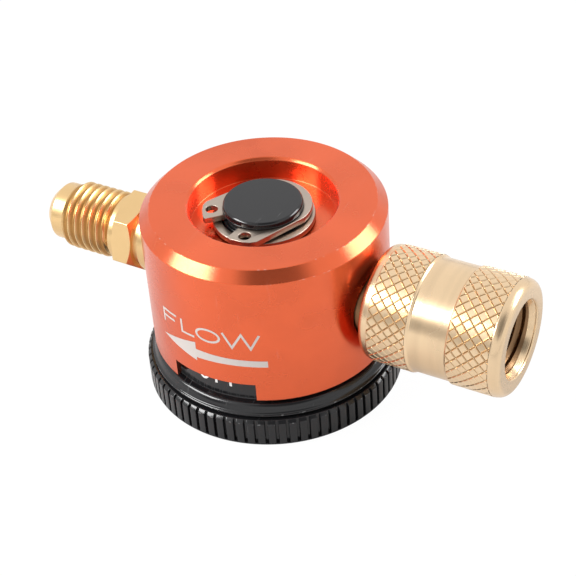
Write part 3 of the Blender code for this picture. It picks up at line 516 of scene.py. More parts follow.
def metal_recipes(look, chamfer):
    """What turned_finish takes, by the name of each metal's finish."""
    housing_edges = [
        (HOUSING_RADIUS, HOUSING_HIGH.z - chamfer),
        (HOUSING_RADIUS - chamfer, HOUSING_HIGH.z),
        (HOUSING_RADIUS, HOUSING_LOW.z),
    ]
    # Brass darkened to between a third and a fifth of its colour, as painted shade inside the nut's bore and
    # on the stem under the nut
    shade_painted_brass = [channel * share for channel, share in zip(look.brass, (0.32, 0.25, 0.2))]
    return {
        "orange_anodised_turned": dict(
            colour=look.orange, roughness=look.orange_roughness, lines=3500.0, relief=0.007, unevenness=0.9,
            contrast=0.1, scratches=0.03, anisotropy=0.9, edges=housing_edges, coat=0.35,
        ),
        "black_anodised_turned": dict(
            colour=look.black, roughness=look.black_roughness, metallic=0.0, lines=3000.0, relief=0.002,
            contrast=0.2, scratches=0.1, edges=in_mm((19.65, 5.3), (20.5, 4.15)), nick_colour=(0.5, 0.5, 0.5),
        ),
        "spring_steel_pressed": dict(
            colour=look.steel, roughness=0.34, lines=2500.0, relief=0.003, unevenness=0.3,
            contrast=0.1, scratches=0.5, nick_colour=(0.6, 0.56, 0.5),
        ),
        "brass_turned": dict(
            colour=look.brass, roughness=look.brass_roughness, along_ports=True, lines=4000.0, relief=0.012,
            unevenness=1.6, contrast=0.25, scratches=0.1, anisotropy=0.5,
        ),
        # The knurl's cuts are painted dark brown: partly dirt, partly painted shade between the diamonds
        "brass_knurled": dict(
            colour=look.brass, roughness=look.brass_roughness, along_ports=True, lines=5000.0, relief=0.003,
            unevenness=0.6, contrast=0.1, scratches=0.2, groove=((0.36, 0.25, 0.15), 0.35, 1.0, 0.75),
        ),
        "brass_painted_shade_inside": dict(
            colour=shade_painted_brass, roughness=look.brass_roughness + 0.1, along_ports=True, lines=5000.0,
            relief=0.006, unevenness=1.0, contrast=0.3, scratches=0.1,
        ),
        "golden_brass_turned": dict(
            colour=look.golden_brass, roughness=look.brass_roughness + 0.07, along_ports=True, lines=4500.0,
            relief=0.006, unevenness=0.8, contrast=0.15, scratches=0.15, anisotropy=0.3,
        ),
        # The thread's valleys are painted a deeper brown as painted shade between its flanks
        "golden_brass_threaded": dict(
            colour=look.golden_brass, roughness=look.brass_roughness - 0.04, along_ports=True, lines=4500.0,
            relief=0.003, unevenness=0.6, contrast=0.1, scratches=0.15,
            groove=((0.47, 0.24, 0.07), 0.02, 0.6, 0.9),
        ),
    }


def finish(name):
    """A finish by name, made the first time that a piece asks for it."""
    if name in bpy.data.materials:
        return bpy.data.materials[name]
    look = bpy.context.scene.regulator_finishes
    metals = metal_recipes(look, bpy.context.scene.regulator_housing.top_chamfer)
    if name in metals:
        return turned_finish(name, **metals[name])
    colour, roughness, contrast = {
        "seal_rubber_moulded": (look.rubber, 0.55, 0.3),
        "seat_plastic_moulded": (look.plastic, 0.4, 0.1),
        "pale_marking": (look.marking, 0.5, 0.12),
        "white_legend": (look.legend, 0.5, 0.08),
    }[name]
    return soft_finish(name, colour, roughness, contrast)


# Sizes and colours that a user may change


def length(name, description, default):
    return FloatProperty(
        name=name, description=description, default=default, unit="LENGTH", precision=5, min=0.0
    )


def angle(name, description, default):
    return FloatProperty(name=name, description=description, default=default, subtype="ANGLE")


def level(name, description, default):
    return FloatProperty(name=name, description=description, default=default, min=0.0)


def colour(name, description, default):
    return FloatVectorProperty(
        name=name, description=description, default=default, subtype="COLOR", size=3, min=0.0, max=1.0
    )


class RegulatorHousingSettings(PropertyGroup):
    top_chamfer: length("Top Chamfer", "Width and height of the chamfer round the top", 1.6 * MM)
    recess_radius: length("Recess Radius", "Radius of the recess that holds the snap ring", 11.4 * MM)
    window_width: length("Window Width", "Width of the window that shows the dial's legend", 14.1 * MM)
    window_height: length("Window Height", "Height of the window above the housing's lower edge", 3.3 * MM)
    edge: length("Edge Rounding", "Rounding of the turned edges", 0.12 * MM)


class RegulatorDialSettings(PropertyGroup):
    rib_count: IntProperty(name="Ribs", description="Number of grip ribs round the dial", default=78, min=12)
    rib_depth: length("Rib Depth", "Depth of the gaps between the ribs", 0.5 * MM)
    bead_radius: length("Bead Radius", "Radius of the round bead above the ribs", 1.2 * MM)


class RegulatorNutSettings(PropertyGroup):
    knurl_count: IntProperty(name="Knurls", description="Number of diamonds round the nut", default=32, min=8)
    knurl_length: length("Knurl Length", "Length of a diamond along the nut", 1.81 * MM)
    knurl_depth: length("Knurl Depth", "Depth of the cuts between the diamonds", 0.2 * MM)
    thread_pitch: length("Thread Pitch", "Pitch of the nut's inner thread", 1.27 * MM)


class RegulatorOutletSettings(PropertyGroup):
    thread_pitch: length("Thread Pitch", "Pitch of the flare thread", 1.375 * MM)
    thread_depth: length("Thread Depth", "Depth of the flare thread", 0.7 * MM)
    hexagon_width: length("Hexagon Width", "Width of the hexagon across its flats", 11.8 * MM)


class RegulatorMarkingSettings(PropertyGroup):
    letter_height: length("Letter Height", "Height of the letters on the housing", 2.6 * MM)
    letter_stroke: length("Letter Stroke", "Width of the letters' strokes", 0.37 * MM)
    legend_height: length("Legend Height", "Height of the legends on the dial", 2.6 * MM)
    legend_stroke: length("Legend Stroke", "Width of the legends' strokes", 0.42 * MM)


class RegulatorFinishSettings(PropertyGroup):
    orange: colour("Orange", "Anodised colour of the housing", (0.81, 0.138, 0.048))
    orange_roughness: level("Orange Roughness", "Of the housing", 0.26)
    black: colour("Black", "Anodised colour of the dial", (0.008, 0.008, 0.009))
    black_roughness: level("Black Roughness", "Of the dial", 0.14)
    brass: colour("Brass", "Colour of the swivel nut and its stem", (0.83, 0.615, 0.39))
    golden_brass: colour("Golden Brass", "Colour of the outlet fitting", (0.81, 0.555, 0.27))
    brass_roughness: level("Brass Roughness", "Of the fittings", 0.25)
    steel: colour("Steel", "Colour of the snap ring, washer and detent", (0.49, 0.41, 0.345))
    rubber: colour("Rubber", "Colour of the seals", (0.015, 0.015, 0.015))
    plastic: colour("Plastic", "Colour of the seats", (0.75, 0.75, 0.72))
    marking: colour("Marking", "Colour of the flow mark on the housing", (0.54, 0.49, 0.46))
    legend: colour("Legend", "Colour of the settings' legends on the dial", (0.85, 0.85, 0.83))


class RegulatorStageSettings(PropertyGroup):
    azimuth: angle("Azimuth", "Of the camera", 31.55 * DEG)
    elevation: angle("Elevation", "Of the camera", 38.06 * DEG)
    roll: angle("Roll", "Of the camera", -4.49 * DEG)
    distance: length("Distance", "From the camera to the plane through its target", 255.966 * MM)
    aim_right: length("Aim Right", "From the dial's axis to where the camera aims", 2.7609 * MM)
    aim_up: length("Aim Up", "From the target's height to where the camera aims", 0.4421 * MM)
    lens: level("Lens", "Focal length on a 36 mm sensor, in millimetres", 101.182)
    lamp_level: level("Lamp Level", "Brightness of the two soft boxes", 16.0)
    room_level: level("Room Level", "Brightness of the room's pale back", 1.02)


# Pieces


class REGULATOR_OT_housing(Operator):
    """Turn the housing, with its recess, skirt, ports and legend window"""

    bl_idname = "regulator.build_housing"
    bl_label = "Housing"

    def execute(self, context):
        sizes = context.scene.regulator_housing
        top, base = HOUSING_HIGH.z, HOUSING_LOW.z
        ceiling, floor = 12.2 * MM, 27.8 * MM
        skirt, recess = HOUSING_RADIUS - 1.0 * MM, sizes.recess_radius
        small, recess_chamfer = 0.2 * MM, 0.4 * MM
        outline = [
            (recess + recess_chamfer, top),
            (HOUSING_RADIUS - sizes.top_chamfer, top),
            (HOUSING_RADIUS, top - sizes.top_chamfer),
            (HOUSING_RADIUS, base + small),
            (HOUSING_RADIUS - small, base),
            (skirt + small, base),
            (skirt, base + small),
            (skirt, ceiling),
            (SPINDLE_BORE, ceiling),
            (SPINDLE_BORE, floor),
            (recess, floor),
            (recess, top - recess_chamfer),
        ]
        mesh = turned("housing_body", eased(outline, sizes.edge), round_dial, 288)

        # From the outside in: the spot face, the threaded port with its mouth, and the seat's pocket
        port = in_mm(
            (0, 24.0), (6.1, 24.0), (6.1, 17.4), (6.0, 17.4), (5.15, 16.55), (5.15, 9.5),
            (3.5, 9.5), (3.5, 3.0), (0, 3.0),
        )
        tools = [
            turned_tool("inlet_port", port, round_inlet, 72),
            turned_tool("outlet_port", port, round_outlet, 72),
        ]
        for name, radius, direction, end in (
            ("detent_hole", 1.5 * MM, DETENT_DIRECTION, 20.5 * MM),
            ("stop_pin_hole", 1.55 * MM, STOP_DIRECTION, 16.9 * MM),
        ):
            tool = cylinder_tool(name, round_dial, radius, 11.5 * MM, end, 48)
            tool.transform(Matrix.Translation(round_dial(DETENT_CIRCLE, 0, direction)))
            tools.append(tool)
        half, beyond = sizes.window_width / 2, 1.0 * MM
        low = (-half, -HOUSING_RADIUS - beyond, base - beyond)
        tools.append(box_tool("window", low, (half, -15.4 * MM, base + sizes.window_height)))
        mesh = carved(mesh, *tools)
        add_piece("housing_body", mesh, "housing", "orange_anodised_turned", ["housing"])
        return {"FINISHED"}


def dial_grip_outline(sizes, crest, band):
    """From the axis on the dial's face, over the legend collar, the bead and the ribbed band, to the foot."""
    face, bead_top = 11.9 * MM, 7.35 * MM
    foot = bead_top - 0.45 * MM
    side = 19.5 * MM - sizes.bead_radius
    neck = side + 0.88 * MM
    grip = [
        (neck, bead_top - 2 * sizes.bead_radius + 0.02 * MM),
        (neck, band),
        *stepped((crest, band), (-0.5, 0), (0, -0.5)),
        *stepped((crest, 0), (0, 0.4), (0, 0.32), (0, 0.12), (-0.12, 0), (-1.4, 0)),
        (8.0 * MM, 0),
    ]
    return [
        (0, face),
        (7.0 * MM, face),
        *stepped((LEGEND_RADIUS, face), (-0.2, 0), (0, -0.2)),
        *stepped((LEGEND_RADIUS, foot), (0, 0.4), (0.1, 0.1), (0.35, 0)),
        *stepped((side, foot), (0.05, -0.04), (0.4, -0.16), (0.65, -0.42), (0.82, -0.8), (0.92, -1.12)),
        *stepped((side, foot), (1.03, -1.34), (1.16, -1.43), (1.28, -1.47), (1.36, -1.56)),
        *stepped((side, foot), (1.38, -1.69), (1.32, -1.81), (1.15, -1.88)),
        *eased(grip, 0.1 * MM, closed=False),
        (0, 0),
    ]


class REGULATOR_OT_dial(Operator):
    """Turn the dial with its grip ribs, bead and legend collar, and the spindle that stands on it"""

    bl_idname = "regulator.build_dial"
    bl_label = "Selector Dial"

    def execute(self, context):
        sizes = context.scene.regulator_dial
        crest, band, solid_foot = 20.5 * MM, 4.65 * MM, 0.35 * MM

        # A gap's half outline, as (millimetres from its middle, share of the full depth) knots
        half_gap = [(0.18, 1.0), (0.24, 0.25), (0.28, 0.08), (0.35, 0.0)]
        knots = [(-0.18, 1.0), *half_gap, (0.6, 0.0), (0.85, 0.0)]
        pitch = 2 * math.pi / sizes.rib_count
        around = []
        for rib in range(sizes.rib_count):
            around += [(rib * pitch + across * MM / crest, depth) for across, depth in knots]
            around += [((rib + 1) * pitch - across * MM / crest, depth) for across, depth in half_gap[:0:-1]]
        rings = []
        for radius, height in dial_grip_outline(sizes, crest, band):
            cut = sizes.rib_depth if solid_foot <= height <= band else 0.0
            if radius == 0:
                rings.append([round_dial(0, height, 0)])
                continue
            radii = [min(radius, crest - depth * cut) for turn, depth in around]
            rings.append([round_dial(reach, height, turn) for reach, (turn, depth) in zip(radii, around)])
        tools = []
        for step in range(3):
            centre = round_dial(DETENT_CIRCLE, 12.7 * MM, DETENT_DIRECTION - step * SETTING_STEP)
            tools.append(ball_tool("dimple", 1.36 * MM, centre))
        first = STOP_DIRECTION - 2 * SETTING_STEP
        low, high = 10.3 * MM, 13.5 * MM
        groove = kidney_tool("stop_groove", DETENT_CIRCLE, 1.55 * MM, first, STOP_DIRECTION, low, high)
        mesh = carved(to_mesh("dial_grip", skin(rings)), *tools, groove)
        add_piece("dial_grip", mesh, "dial", "black_anodised_turned", ["selector_dial"])

        radius = 6.25
        spindle = [(0, 31.5), (radius - 0.42, 31.5), (radius - 0.2, 31.3)]
        spindle += [(radius - 0.1, 31.05), (radius - 0.08, 30.6)]
        for low, high, depth in ((29.25, 30.55, 5.75), (22.5, 24.5, 4.55), (12.9, 14.9, 4.55)):
            spindle += [(radius, high), (depth, high), (depth, low), (radius, low)]
        spindle += [(radius, 11.0), (0, 11.0)]
        mesh = turned_tool("dial_spindle", eased(in_mm(*spindle), 0.08 * MM, closed=False), round_dial, 96)
        tools = []
        for name, bore, turn in (("braze_way", 1.5 * MM, -60.0), ("purge_way", 2.0 * MM, -120.0)):
            tool = cylinder_tool(name, round_inlet, bore, -9 * MM, 9 * MM, 48)
            tool.transform(Matrix.Rotation(turn * DEG, 4, "Z"))
            tools.append(tool)
        add_piece("dial_spindle", carved(mesh, *tools), "dial", "black_anodised_turned")
        return {"FINISHED"}


class REGULATOR_OT_snap_ring(Operator):
    """Press the snap ring and turn the washer below it"""

    bl_idname = "regulator.build_snap_ring"
    bl_label = "Snap Ring and Washer"

    def execute(self, context):
        steel = "spring_steel_pressed"
        inner, thickness, rounding = 5.9 * MM, 1.0 * MM, 0.1 * MM
        waist, back, lug = inner + 1.2 * MM, inner + 1.8 * MM, inner + 3.45 * MM
        half_gap, gap_direction, waist_turn = 19.5 * DEG, -116 * DEG, 116 * DEG
        along = waist * math.cos(waist_turn)
        shift = (back**2 - waist**2) / (2 * (back + along))
        start = math.atan2(waist * math.sin(waist_turn), along + shift)
        corners = [
            (lug - 0.2 * MM, 19.5), (lug, 24.0), (lug + 0.02 * MM, 35.0), (lug, 43.0), (lug - 0.3 * MM, 49.0)
        ]
        upper = [(reach * math.cos(turn * DEG), reach * math.sin(turn * DEG)) for reach, turn in corners]
        outline = [
            *upper,
            *arc((-shift, 0), back - shift, start, 2 * math.pi - start, 48),
            *[(x, -y) for x, y in reversed(upper)],
            *arc((0, 0), inner, -half_gap, half_gap - 2 * math.pi, 96),
        ]
        hole, hole_circle, hole_turn = 0.95 * MM, 7.85 * MM, 35 * DEG
        centre = (hole_circle * math.cos(hole_turn), hole_circle * math.sin(hole_turn))
        holes = [oval((centre[0], side * centre[1]), hole, hole, 32) for side in (-1, 1)]
        curve = bpy.data.curves.new("snap_ring_outline", "CURVE")
        curve.dimensions = "2D"
        curve.fill_mode = "BOTH"
        curve.extrude = thickness / 2 - rounding
        curve.bevel_depth = rounding
        curve.bevel_resolution = 2
        curve.offset = -rounding
        for points in [outline, *holes]:
            spline = curve.splines.new("POLY")
            spline.points.add(len(points) - 1)
            for point, (x, y) in zip(spline.points, points):
                point.co = (x, y, 0, 1)
            spline.use_cyclic_u = True
        guide = scratch_object(curve)
        mesh = evaluated_mesh(guide)
        bpy.data.objects.remove(guide, do_unlink=True)
        shape = bmesh.new()
        shape.from_mesh(mesh)
        bmesh.ops.remove_doubles(shape, verts=shape.verts, dist=1e-6)
        mesh = to_mesh("snap_ring", shape)
        mesh.transform(Matrix.Translation((0, 0, 29.9 * MM)) @ Matrix.Rotation(gap_direction, 4, "Z"))
        add_piece("snap_ring", mesh, "dial", steel, ["retaining_ring"])

        rim, low, high = 7.9 * MM, 28.1 * MM, 29.1 * MM
        washer = [(rim, high), (rim, low), (SPINDLE_BORE, low), (SPINDLE_BORE, high)]
        mesh = turned("spindle_washer", eased(washer, 0.15 * MM), round_dial, 128)
        add_piece("spindle_washer", mesh, "housing", steel, ["thrust_washer"])
        return {"FINISHED"}


# Under the collar of both fittings: the seal's undercut, the threaded spigot and its chamfer
SPIGOT = in_mm((5.8, 17.7), (4.2, 17.7), (4.2, 15.8), (4.85, 15.8), (4.85, 10.2), (4.45, 9.8))

# A skin that is sunk this far below a thread's root doesn't show between its turns
UNDER_THREAD = 0.04 * MM


def outlet_hexagon(width, low, high):
    """A hexagon between two distances along the outlet, with its corners chamfered at both ends."""
    flat = width / 2
    corner = flat / math.cos(30 * DEG)
    turns = [(44 + 60 * k) * DEG for k in range(6)]
    shape = capped([[round_outlet(corner, end, turn) for turn in turns] for end in (low, high)])
    along = [edge for edge in shape.edges if abs(edge.verts[0].co.x - edge.verts[1].co.x) > 1 * MM]
    bmesh.ops.bevel(shape, geom=along, offset=0.12 * MM, segments=2, affect="EDGES", profile=0.5)
    bmesh.ops.recalc_face_normals(shape, faces=shape.faces)
    chamfer = (corner - flat) * math.tan(30 * DEG)
    outer, face, beyond, before = corner + chamfer, flat - 0.1 * MM, high + chamfer, low - chamfer
    back = [(outer, beyond), (outer, low + 2 * chamfer), (flat, low), (flat, before)]
    front = [(face, beyond), (face, high), (outer, high - 1.2 * chamfer), (outer, before)]
    blanks = [
        turned_tool(name, [(0, beyond), *outline, (0, before)], round_outlet)
        for name, outline in (("hexagon_back_blank", back), ("hexagon_front_blank", front))
    ]
    return carved(to_mesh("outlet_hexagon", shape), *blanks, operation="INTERSECT")


class REGULATOR_OT_outlet(Operator):
    """Turn the outlet fitting, with its hexagon and flare thread"""

    bl_idname = "regulator.build_outlet"
    bl_label = "Outlet Fitting"

    def execute(self, context):
        sizes = context.scene.regulator_outlet
        crest, bore = 5.555 * MM, 2.4 * MM
        root = crest - sizes.thread_depth
        start, end = 27.1 * MM, 36.1 * MM
        hexagon_start, hexagon_end = 22.0 * MM, 25.65 * MM
        nose, land = 4.685 * MM, 5.455 * MM
        outline = [
            (bore, 39.7 * MM),
            (3.285 * MM, 39.7 * MM),
            (nose, 38.3 * MM),
            (nose, end),
            (root - UNDER_THREAD, end),
            (root - UNDER_THREAD, start),
            (5.1 * MM, start),
            (land, start - 0.4 * MM),
            (land, hexagon_start),
            (5.2 * MM, hexagon_start),
            *in_mm((5.2, 20.9), (5.8, 20.9)),
            *SPIGOT,
            (bore, 9.8 * MM),
        ]
        mesh = turned("outlet_body", eased(outline, 0.1 * MM), round_outlet, 128)
        hexagon = outlet_hexagon(sizes.hexagon_width, hexagon_start, hexagon_end)
        mesh = carved(mesh, hexagon, operation="UNION")
        mesh = carved(mesh, cylinder_tool("outlet_bore", round_outlet, bore, 9 * MM, 41 * MM, 96))
        add_piece("outlet_body", mesh, "housing", "golden_brass_turned", ["outlet_fitting"])

        def limit(distance, radius):
            return max(root, min(radius, root + (distance - start) * 1.2, root + (end - distance)))

        thread = helix(
            "outlet_thread", round_outlet, start, end, sizes.thread_pitch, root, crest, limit, phase=0.295
        )
        add_piece(
            "outlet_thread", thread, "housing", "golden_brass_threaded", sharp=50.0, weighted=False
        )
        return {"FINISHED"}


# Across one diamond of the knurl, as (share of its width, share of the full depth) knots
KNURL_SHAPE = [
    (0.0, 1.0), (0.025, 0.9), (0.1, 0.1), (0.12, 0.0), (0.5, 0.0), (0.88, 0.0), (0.9, 0.1), (0.975, 0.9),
]

# Where two cuts of the knurl cross: its place along +X, and its angle above the front
KNURL_ORIGIN = 34.095 * MM
KNURL_TURN = 52.8 * DEG


def knurled_sleeve(name, start, end, crest, sizes):
    """A band of raised diamonds between crossed cuts, whose knots are counted across each set of cuts."""
    knots = len(KNURL_SHAPE)
    around = sizes.knurl_count
    half_pitch = sizes.knurl_length / 2
    first = int((start - KNURL_ORIGIN) / half_pitch) - 2
    last = int((end - KNURL_ORIGIN) / half_pitch) + 2
    shape = bmesh.new()
    # Each vertex's depth in the cuts, which the finish paints darker as dirt and shade
    layer = shape.verts.layers.float.new("groove")
    verts = {}

    def vertex(rising, falling):
        lap = (rising - falling) // (2 * around * knots)
        rising -= lap * around * knots
        falling += lap * around * knots
        if (rising, falling) not in verts:
            i, k = divmod(rising, knots)
            j, m = divmod(falling, knots)
            (share_i, depth_i), (share_j, depth_j) = KNURL_SHAPE[k], KNURL_SHAPE[m]
            along = KNURL_ORIGIN + (i + share_i + j + share_j) * half_pitch
            turn = KNURL_TURN + math.pi * (i + share_i - j - share_j) / around
            cut = max(depth_i, depth_j)
            vert = shape.verts.new(round_inlet(crest - cut * sizes.knurl_depth, along, turn))
            vert[layer] = cut
            verts[rising, falling] = vert
        return verts[rising, falling]

    for total in range(first, last):
        for difference in range(total % 2, 2 * around, 2):
            i, j = (total + difference) // 2, (total - difference) // 2
            for u in range(i * knots, (i + 1) * knots):
                for v in range(j * knots, (j + 1) * knots):
                    shape.faces.new((vertex(u, v), vertex(u + 1, v), vertex(u + 1, v + 1), vertex(u, v + 1)))
    for place, keep in ((start, 1), (end, -1)):
        geom = shape.verts[:] + shape.edges[:] + shape.faces[:]
        bmesh.ops.bisect_plane(
            shape, geom=geom, dist=1e-7, plane_co=(place, 0, 0), plane_no=(keep, 0, 0), clear_inner=True
        )
    bmesh.ops.recalc_face_normals(shape, faces=shape.faces)
    return to_mesh(name, shape)


class REGULATOR_OT_nut(Operator):
    """Turn the swivel nut, roll its two knurled bands and cut its inner thread"""

    bl_idname = "regulator.build_nut"
    bl_label = "Swivel Nut"

    def execute(self, context):
        sizes = context.scene.regulator_nut
        crest, core = 9.15 * MM, 8.85 * MM
        start, end = 20.0 * MM, 42.4 * MM
        root, bore = 5.62 * MM, 4.95 * MM
        collar, under_knurl, under_thread = crest - 0.04 * MM, core - 0.03 * MM, root + 0.03 * MM
        rear = (start + 1.55 * MM, 27.65 * MM)
        fore = (34.3 * MM, end - 1.65 * MM)
        thread_start, thread_end = 28.8 * MM, end - 1.25 * MM
        outline = [
            *stepped((0, end), (8.05, 0), (8.42, -0.12), (8.75, -0.42), (8.98, -0.85)),
            (collar, end - 1.4 * MM),
            (collar, fore[1]),
            (under_knurl, fore[1]),
            (under_knurl, fore[0]),
            (collar, fore[0]),
            (collar, fore[0] - 0.06 * MM),
            (core, fore[0] - 0.32 * MM),
            (core, rear[1] + 0.45 * MM),
            (collar, rear[1] + 0.16 * MM),
            (collar, rear[1]),
            (under_knurl, rear[1]),
            (under_knurl, rear[0]),
            (collar, rear[0]),
            (collar - 0.05 * MM, rear[0] - 0.15 * MM),
            *stepped((0, start), (9.0, 0.7), (8.85, 0.3), (8.5, 0), (4.4, 0), (4.4, 3.0), (5.7, 3.0)),
            (5.7 * MM, thread_start),
            (under_thread, thread_start),
            (under_thread, thread_end),
            *stepped((0, end), (6.05, -0.4), (6.18, -0.34), (6.12, -0.22), (6.3, 0)),
        ]
        mesh = turned("nut_body", eased(outline, 0.1 * MM), round_inlet, 192)
        add_piece("nut_body", mesh, "nut", "brass_turned", ["swivel_nut"])

        for name, (low, high) in (("nut_knurl_rear", rear), ("nut_knurl_front", fore)):
            sleeve = knurled_sleeve(name, low, high, crest, sizes)
            add_piece(name, sleeve, "nut", "brass_knurled", sharp=25.0, weighted=False)

        def limit(distance, radius):
            cone = root - (thread_end - distance) * 0.5
            return min(root, max(radius, root - (distance - thread_start), cone))

        pitch = sizes.thread_pitch
        thread = helix("nut_thread", round_inlet, thread_start, thread_end, pitch, root, bore, limit, hand=-1)
        # The inner thread gets the darkened brass: painted shade inside the nut's bore
        add_piece("nut_thread", thread, "nut", "brass_painted_shade_inside", sharp=50.0, weighted=False)
        return {"FINISHED"}


class REGULATOR_OT_stem(Operator):
    """Turn the inlet stem that carries the nut, and mould the gasket on its end"""

    bl_idname = "regulator.build_stem"
    bl_label = "Inlet Stem and Gasket"

    def execute(self, context):
        bore = 1.9 * MM
        outline = [
            (bore, 27.0 * MM),
            *in_mm((4.55, 27.0), (4.75, 26.8), (4.75, 23.3), (4.1, 23.3), (4.1, 19.7), (5.8, 19.7)),
            *SPIGOT,
            (bore, 9.8 * MM),
        ]
        mesh = turned("inlet_stem_body", eased(outline, 0.1 * MM), round_inlet, 96)
        corner = 4.6 * MM / math.sqrt(3)
        socket = cylinder_tool("stem_socket", round_inlet, corner, 24.0 * MM, 30.0 * MM, 6)
        mesh = carved(mesh, socket)
        # The stem gets the darkened brass too: painted shade under and beside the nut
        add_piece("inlet_stem_body", mesh, "housing", "brass_painted_shade_inside", ["inlet_stem"])

        outline = in_mm((4.65, 28.5), (4.65, 27.3), (2.4, 27.3), (2.4, 28.5))
        mesh = turned("flare_gasket", eased(outline, 0.25 * MM, 4), round_inlet, 96)
        add_piece("flare_gasket", mesh, "housing", "seal_rubber_moulded", ["inlet_gasket"])
        return {"FINISHED"}


# Markings, drawn flat as (across, up) points and wrapped round a cylinder

MARKING_LIFT = 0.012 * MM


def across(direction, radius=HOUSING_RADIUS):
    """The distance round a cylinder from its front to a direction in degrees."""
    return (direction * DEG - FRONT) * radius


def ribbon(lower, upper):
    """Patches between two rows of points. The first has three corners where the rows start together."""
    patches = []
    for corners in zip(lower, lower[1:], upper[1:], upper):
        patches.append(corners[:3] if corners[0] == corners[3] else corners)
    return patches


def stroke(points, width, closed=False):
    """Four-cornered patches along a line of points, mitred where it turns."""
    points = [Vector(point) for point in points]
    count = len(points)
    sides = []
    for i, point in enumerate(points):
        before = points[i - 1] if closed or i > 0 else None
        after = points[(i + 1) % count] if closed or i < count - 1 else None
        ahead = (after - point).normalized() if after is not None else (point - before).normalized()
        behind = (point - before).normalized() if before is not None else ahead
        tangent = (ahead + behind).normalized()
        normal = Vector((-tangent.y, tangent.x))
        reach = width / 2 / max(0.3, normal.dot(Vector((-ahead.y, ahead.x))))
        sides.append((point + normal * reach, point - normal * reach))
    patches = []
    pairs = list(zip(sides, sides[1:]))
    if closed:
        pairs.append((sides[-1], sides[0]))
    for (left, right), (next_left, next_right) in pairs:
        steps = max(1, math.ceil((next_left - left).length / (0.4 * MM)))
        shares = [step / steps for step in range(steps + 1)]
        rights = [right.lerp(next_right, share) for share in shares]
        patches += ribbon(rights, [left.lerp(next_left, share) for share in shares])
    return patches


def letter_f(left, base, height, width, thick):
    top, middle = base + height - thick / 2, base + 0.49 * height
    stem = [(left + thick / 2, base), (left + thick / 2, base + height)]
    upper = [(left + thick, top), (left + width, top)]
    lower = [(left + thick, middle), (left + 0.86 * width, middle)]
    return stroke(stem, thick) + stroke(upper, thick) + stroke(lower, thick)


def letter_o(middle, half_width, base, height, thick):
    line = oval((middle, base + height / 2), half_width - thick / 2, (height - thick) / 2, 40)
    return stroke(line, thick, closed=True)


def wrapped(name, patches, radius, middle=FRONT):
    """Lay flat patches just above a cylinder about the dial's axis, with across 0 at the middle direction."""
    radius += MARKING_LIFT
    shape = bmesh.new()
    for patch in patches:
        shape.faces.new([shape.verts.new(round_dial(radius, up, middle + x / radius)) for x, up in patch])
    bmesh.ops.remove_doubles(shape, verts=shape.verts, dist=1e-6)
    for face in shape.faces:
        face.normal_update()
        centre = face.calc_center_median()
        if face.normal.dot(Vector((centre.x, centre.y, 0))) < 0:
            face.normal_flip()
    return to_mesh(name, shape)


def flow_word(thick, height):
    """The word over the arrow, by the directions of its letters' edges in degrees."""
    base = 18.0 * MM
    top = base + height
    stem = across(-104.3) + thick / 2
    letter_l = [(stem, top), (stem, base + thick / 2), (across(-96.5), base + thick / 2)]
    letter_w = [(-81.6, top), (-77.4, base), (-72.7, top), (-68.7, base), (-64.5, top)]
    o_left, o_right = across(-95.6), across(-82.7)
    return [
        *letter_f(across(-117.0), base, height, across(-107.0) - across(-117.0), thick),
        *stroke(letter_l, thick),
        *letter_o((o_left + o_right) / 2, (o_right - o_left) / 2, base, height, thick),
        *stroke([(across(direction), up) for direction, up in letter_w], thick),
    ]


def tapered(stations):
    """Patches over stations of (direction in degrees, lower and upper edge in millimetres)."""
    lower = [(across(direction), low * MM) for direction, low, high in stations]
    upper = [(across(direction), high * MM) for direction, low, high in stations]
    return ribbon(lower, upper)


def flow_arrow():
    """The arrow under the word: a bowed shaft and a barbed head."""
    # Along the shaft: direction in degrees, height and width in millimetres
    knots = [
        (-96.5, 15.02, 1.62), (-90, 15.08, 1.42), (-80, 15.13, 1.22), (-70, 15.12, 1.18), (-61.6, 15.05, 1.18)
    ]
    shaft = [knots[0]]
    for here, there in zip(knots, knots[1:]):
        shaft += [Vector(here).lerp(Vector(there), step / 6) for step in range(1, 7)]
    tip, tip_up, back, low, high = -118.7, 15.2, -96.5, 13.57, 17.15
    shares = [step / 18 for step in range(19)]
    head = [
        (tip + (back - tip) * share, tip_up + (low - tip_up) * share**1.15, tip_up + (high - tip_up) * share)
        for share in shares
    ]
    return tapered([(turn, up - width / 2, up + width / 2) for turn, up, width in shaft]) + tapered(head)


class REGULATOR_OT_markings(Operator):
    """Mark the flow direction on the housing and the settings on the dial's collar"""

    bl_idname = "regulator.build_markings"
    bl_label = "Markings"

    def execute(self, context):
        sizes = context.scene.regulator_markings
        word = flow_word(sizes.letter_stroke, sizes.letter_height)
        for name, patches in (("flow_word", word), ("flow_arrow", flow_arrow())):
            mesh = wrapped(name, patches, HOUSING_RADIUS)
            add_piece(name, mesh, "housing", "pale_marking", weighted=False)

        thick, height, base, width = sizes.legend_stroke, sizes.legend_height, 8.95 * MM, 1.75 * MM
        off = [
            *letter_o(across(-96.9, LEGEND_RADIUS), 0.95 * MM, base, height, thick),
            *letter_f(across(-90.5, LEGEND_RADIUS), base, height, width, thick),
            *letter_f(across(-82.6, LEGEND_RADIUS), base, height, width, thick),
        ]
        one = stroke([(-0.55 * MM, base + 2.05 * MM), (0.0, base + height), (0.0, base)], thick)
        bow = [
            (0.8 * MM * math.cos(t * DEG), base + 1.82 * MM + 0.78 * MM * math.sin(t * DEG))
            for t in range(170, -41, -15)
        ]
        two = stroke([*bow, (-0.8 * MM, base + thick / 2), (0.9 * MM, base + thick / 2)], thick)
        legends = (("off_legend", off), ("first_legend", one), ("second_legend", two))
        for step, (name, patches) in enumerate(legends):
            mesh = wrapped(name, patches, LEGEND_RADIUS, FRONT - step * SETTING_STEP)
            add_piece(name, mesh, "dial", "white_legend", weighted=False)
        return {"FINISHED"}


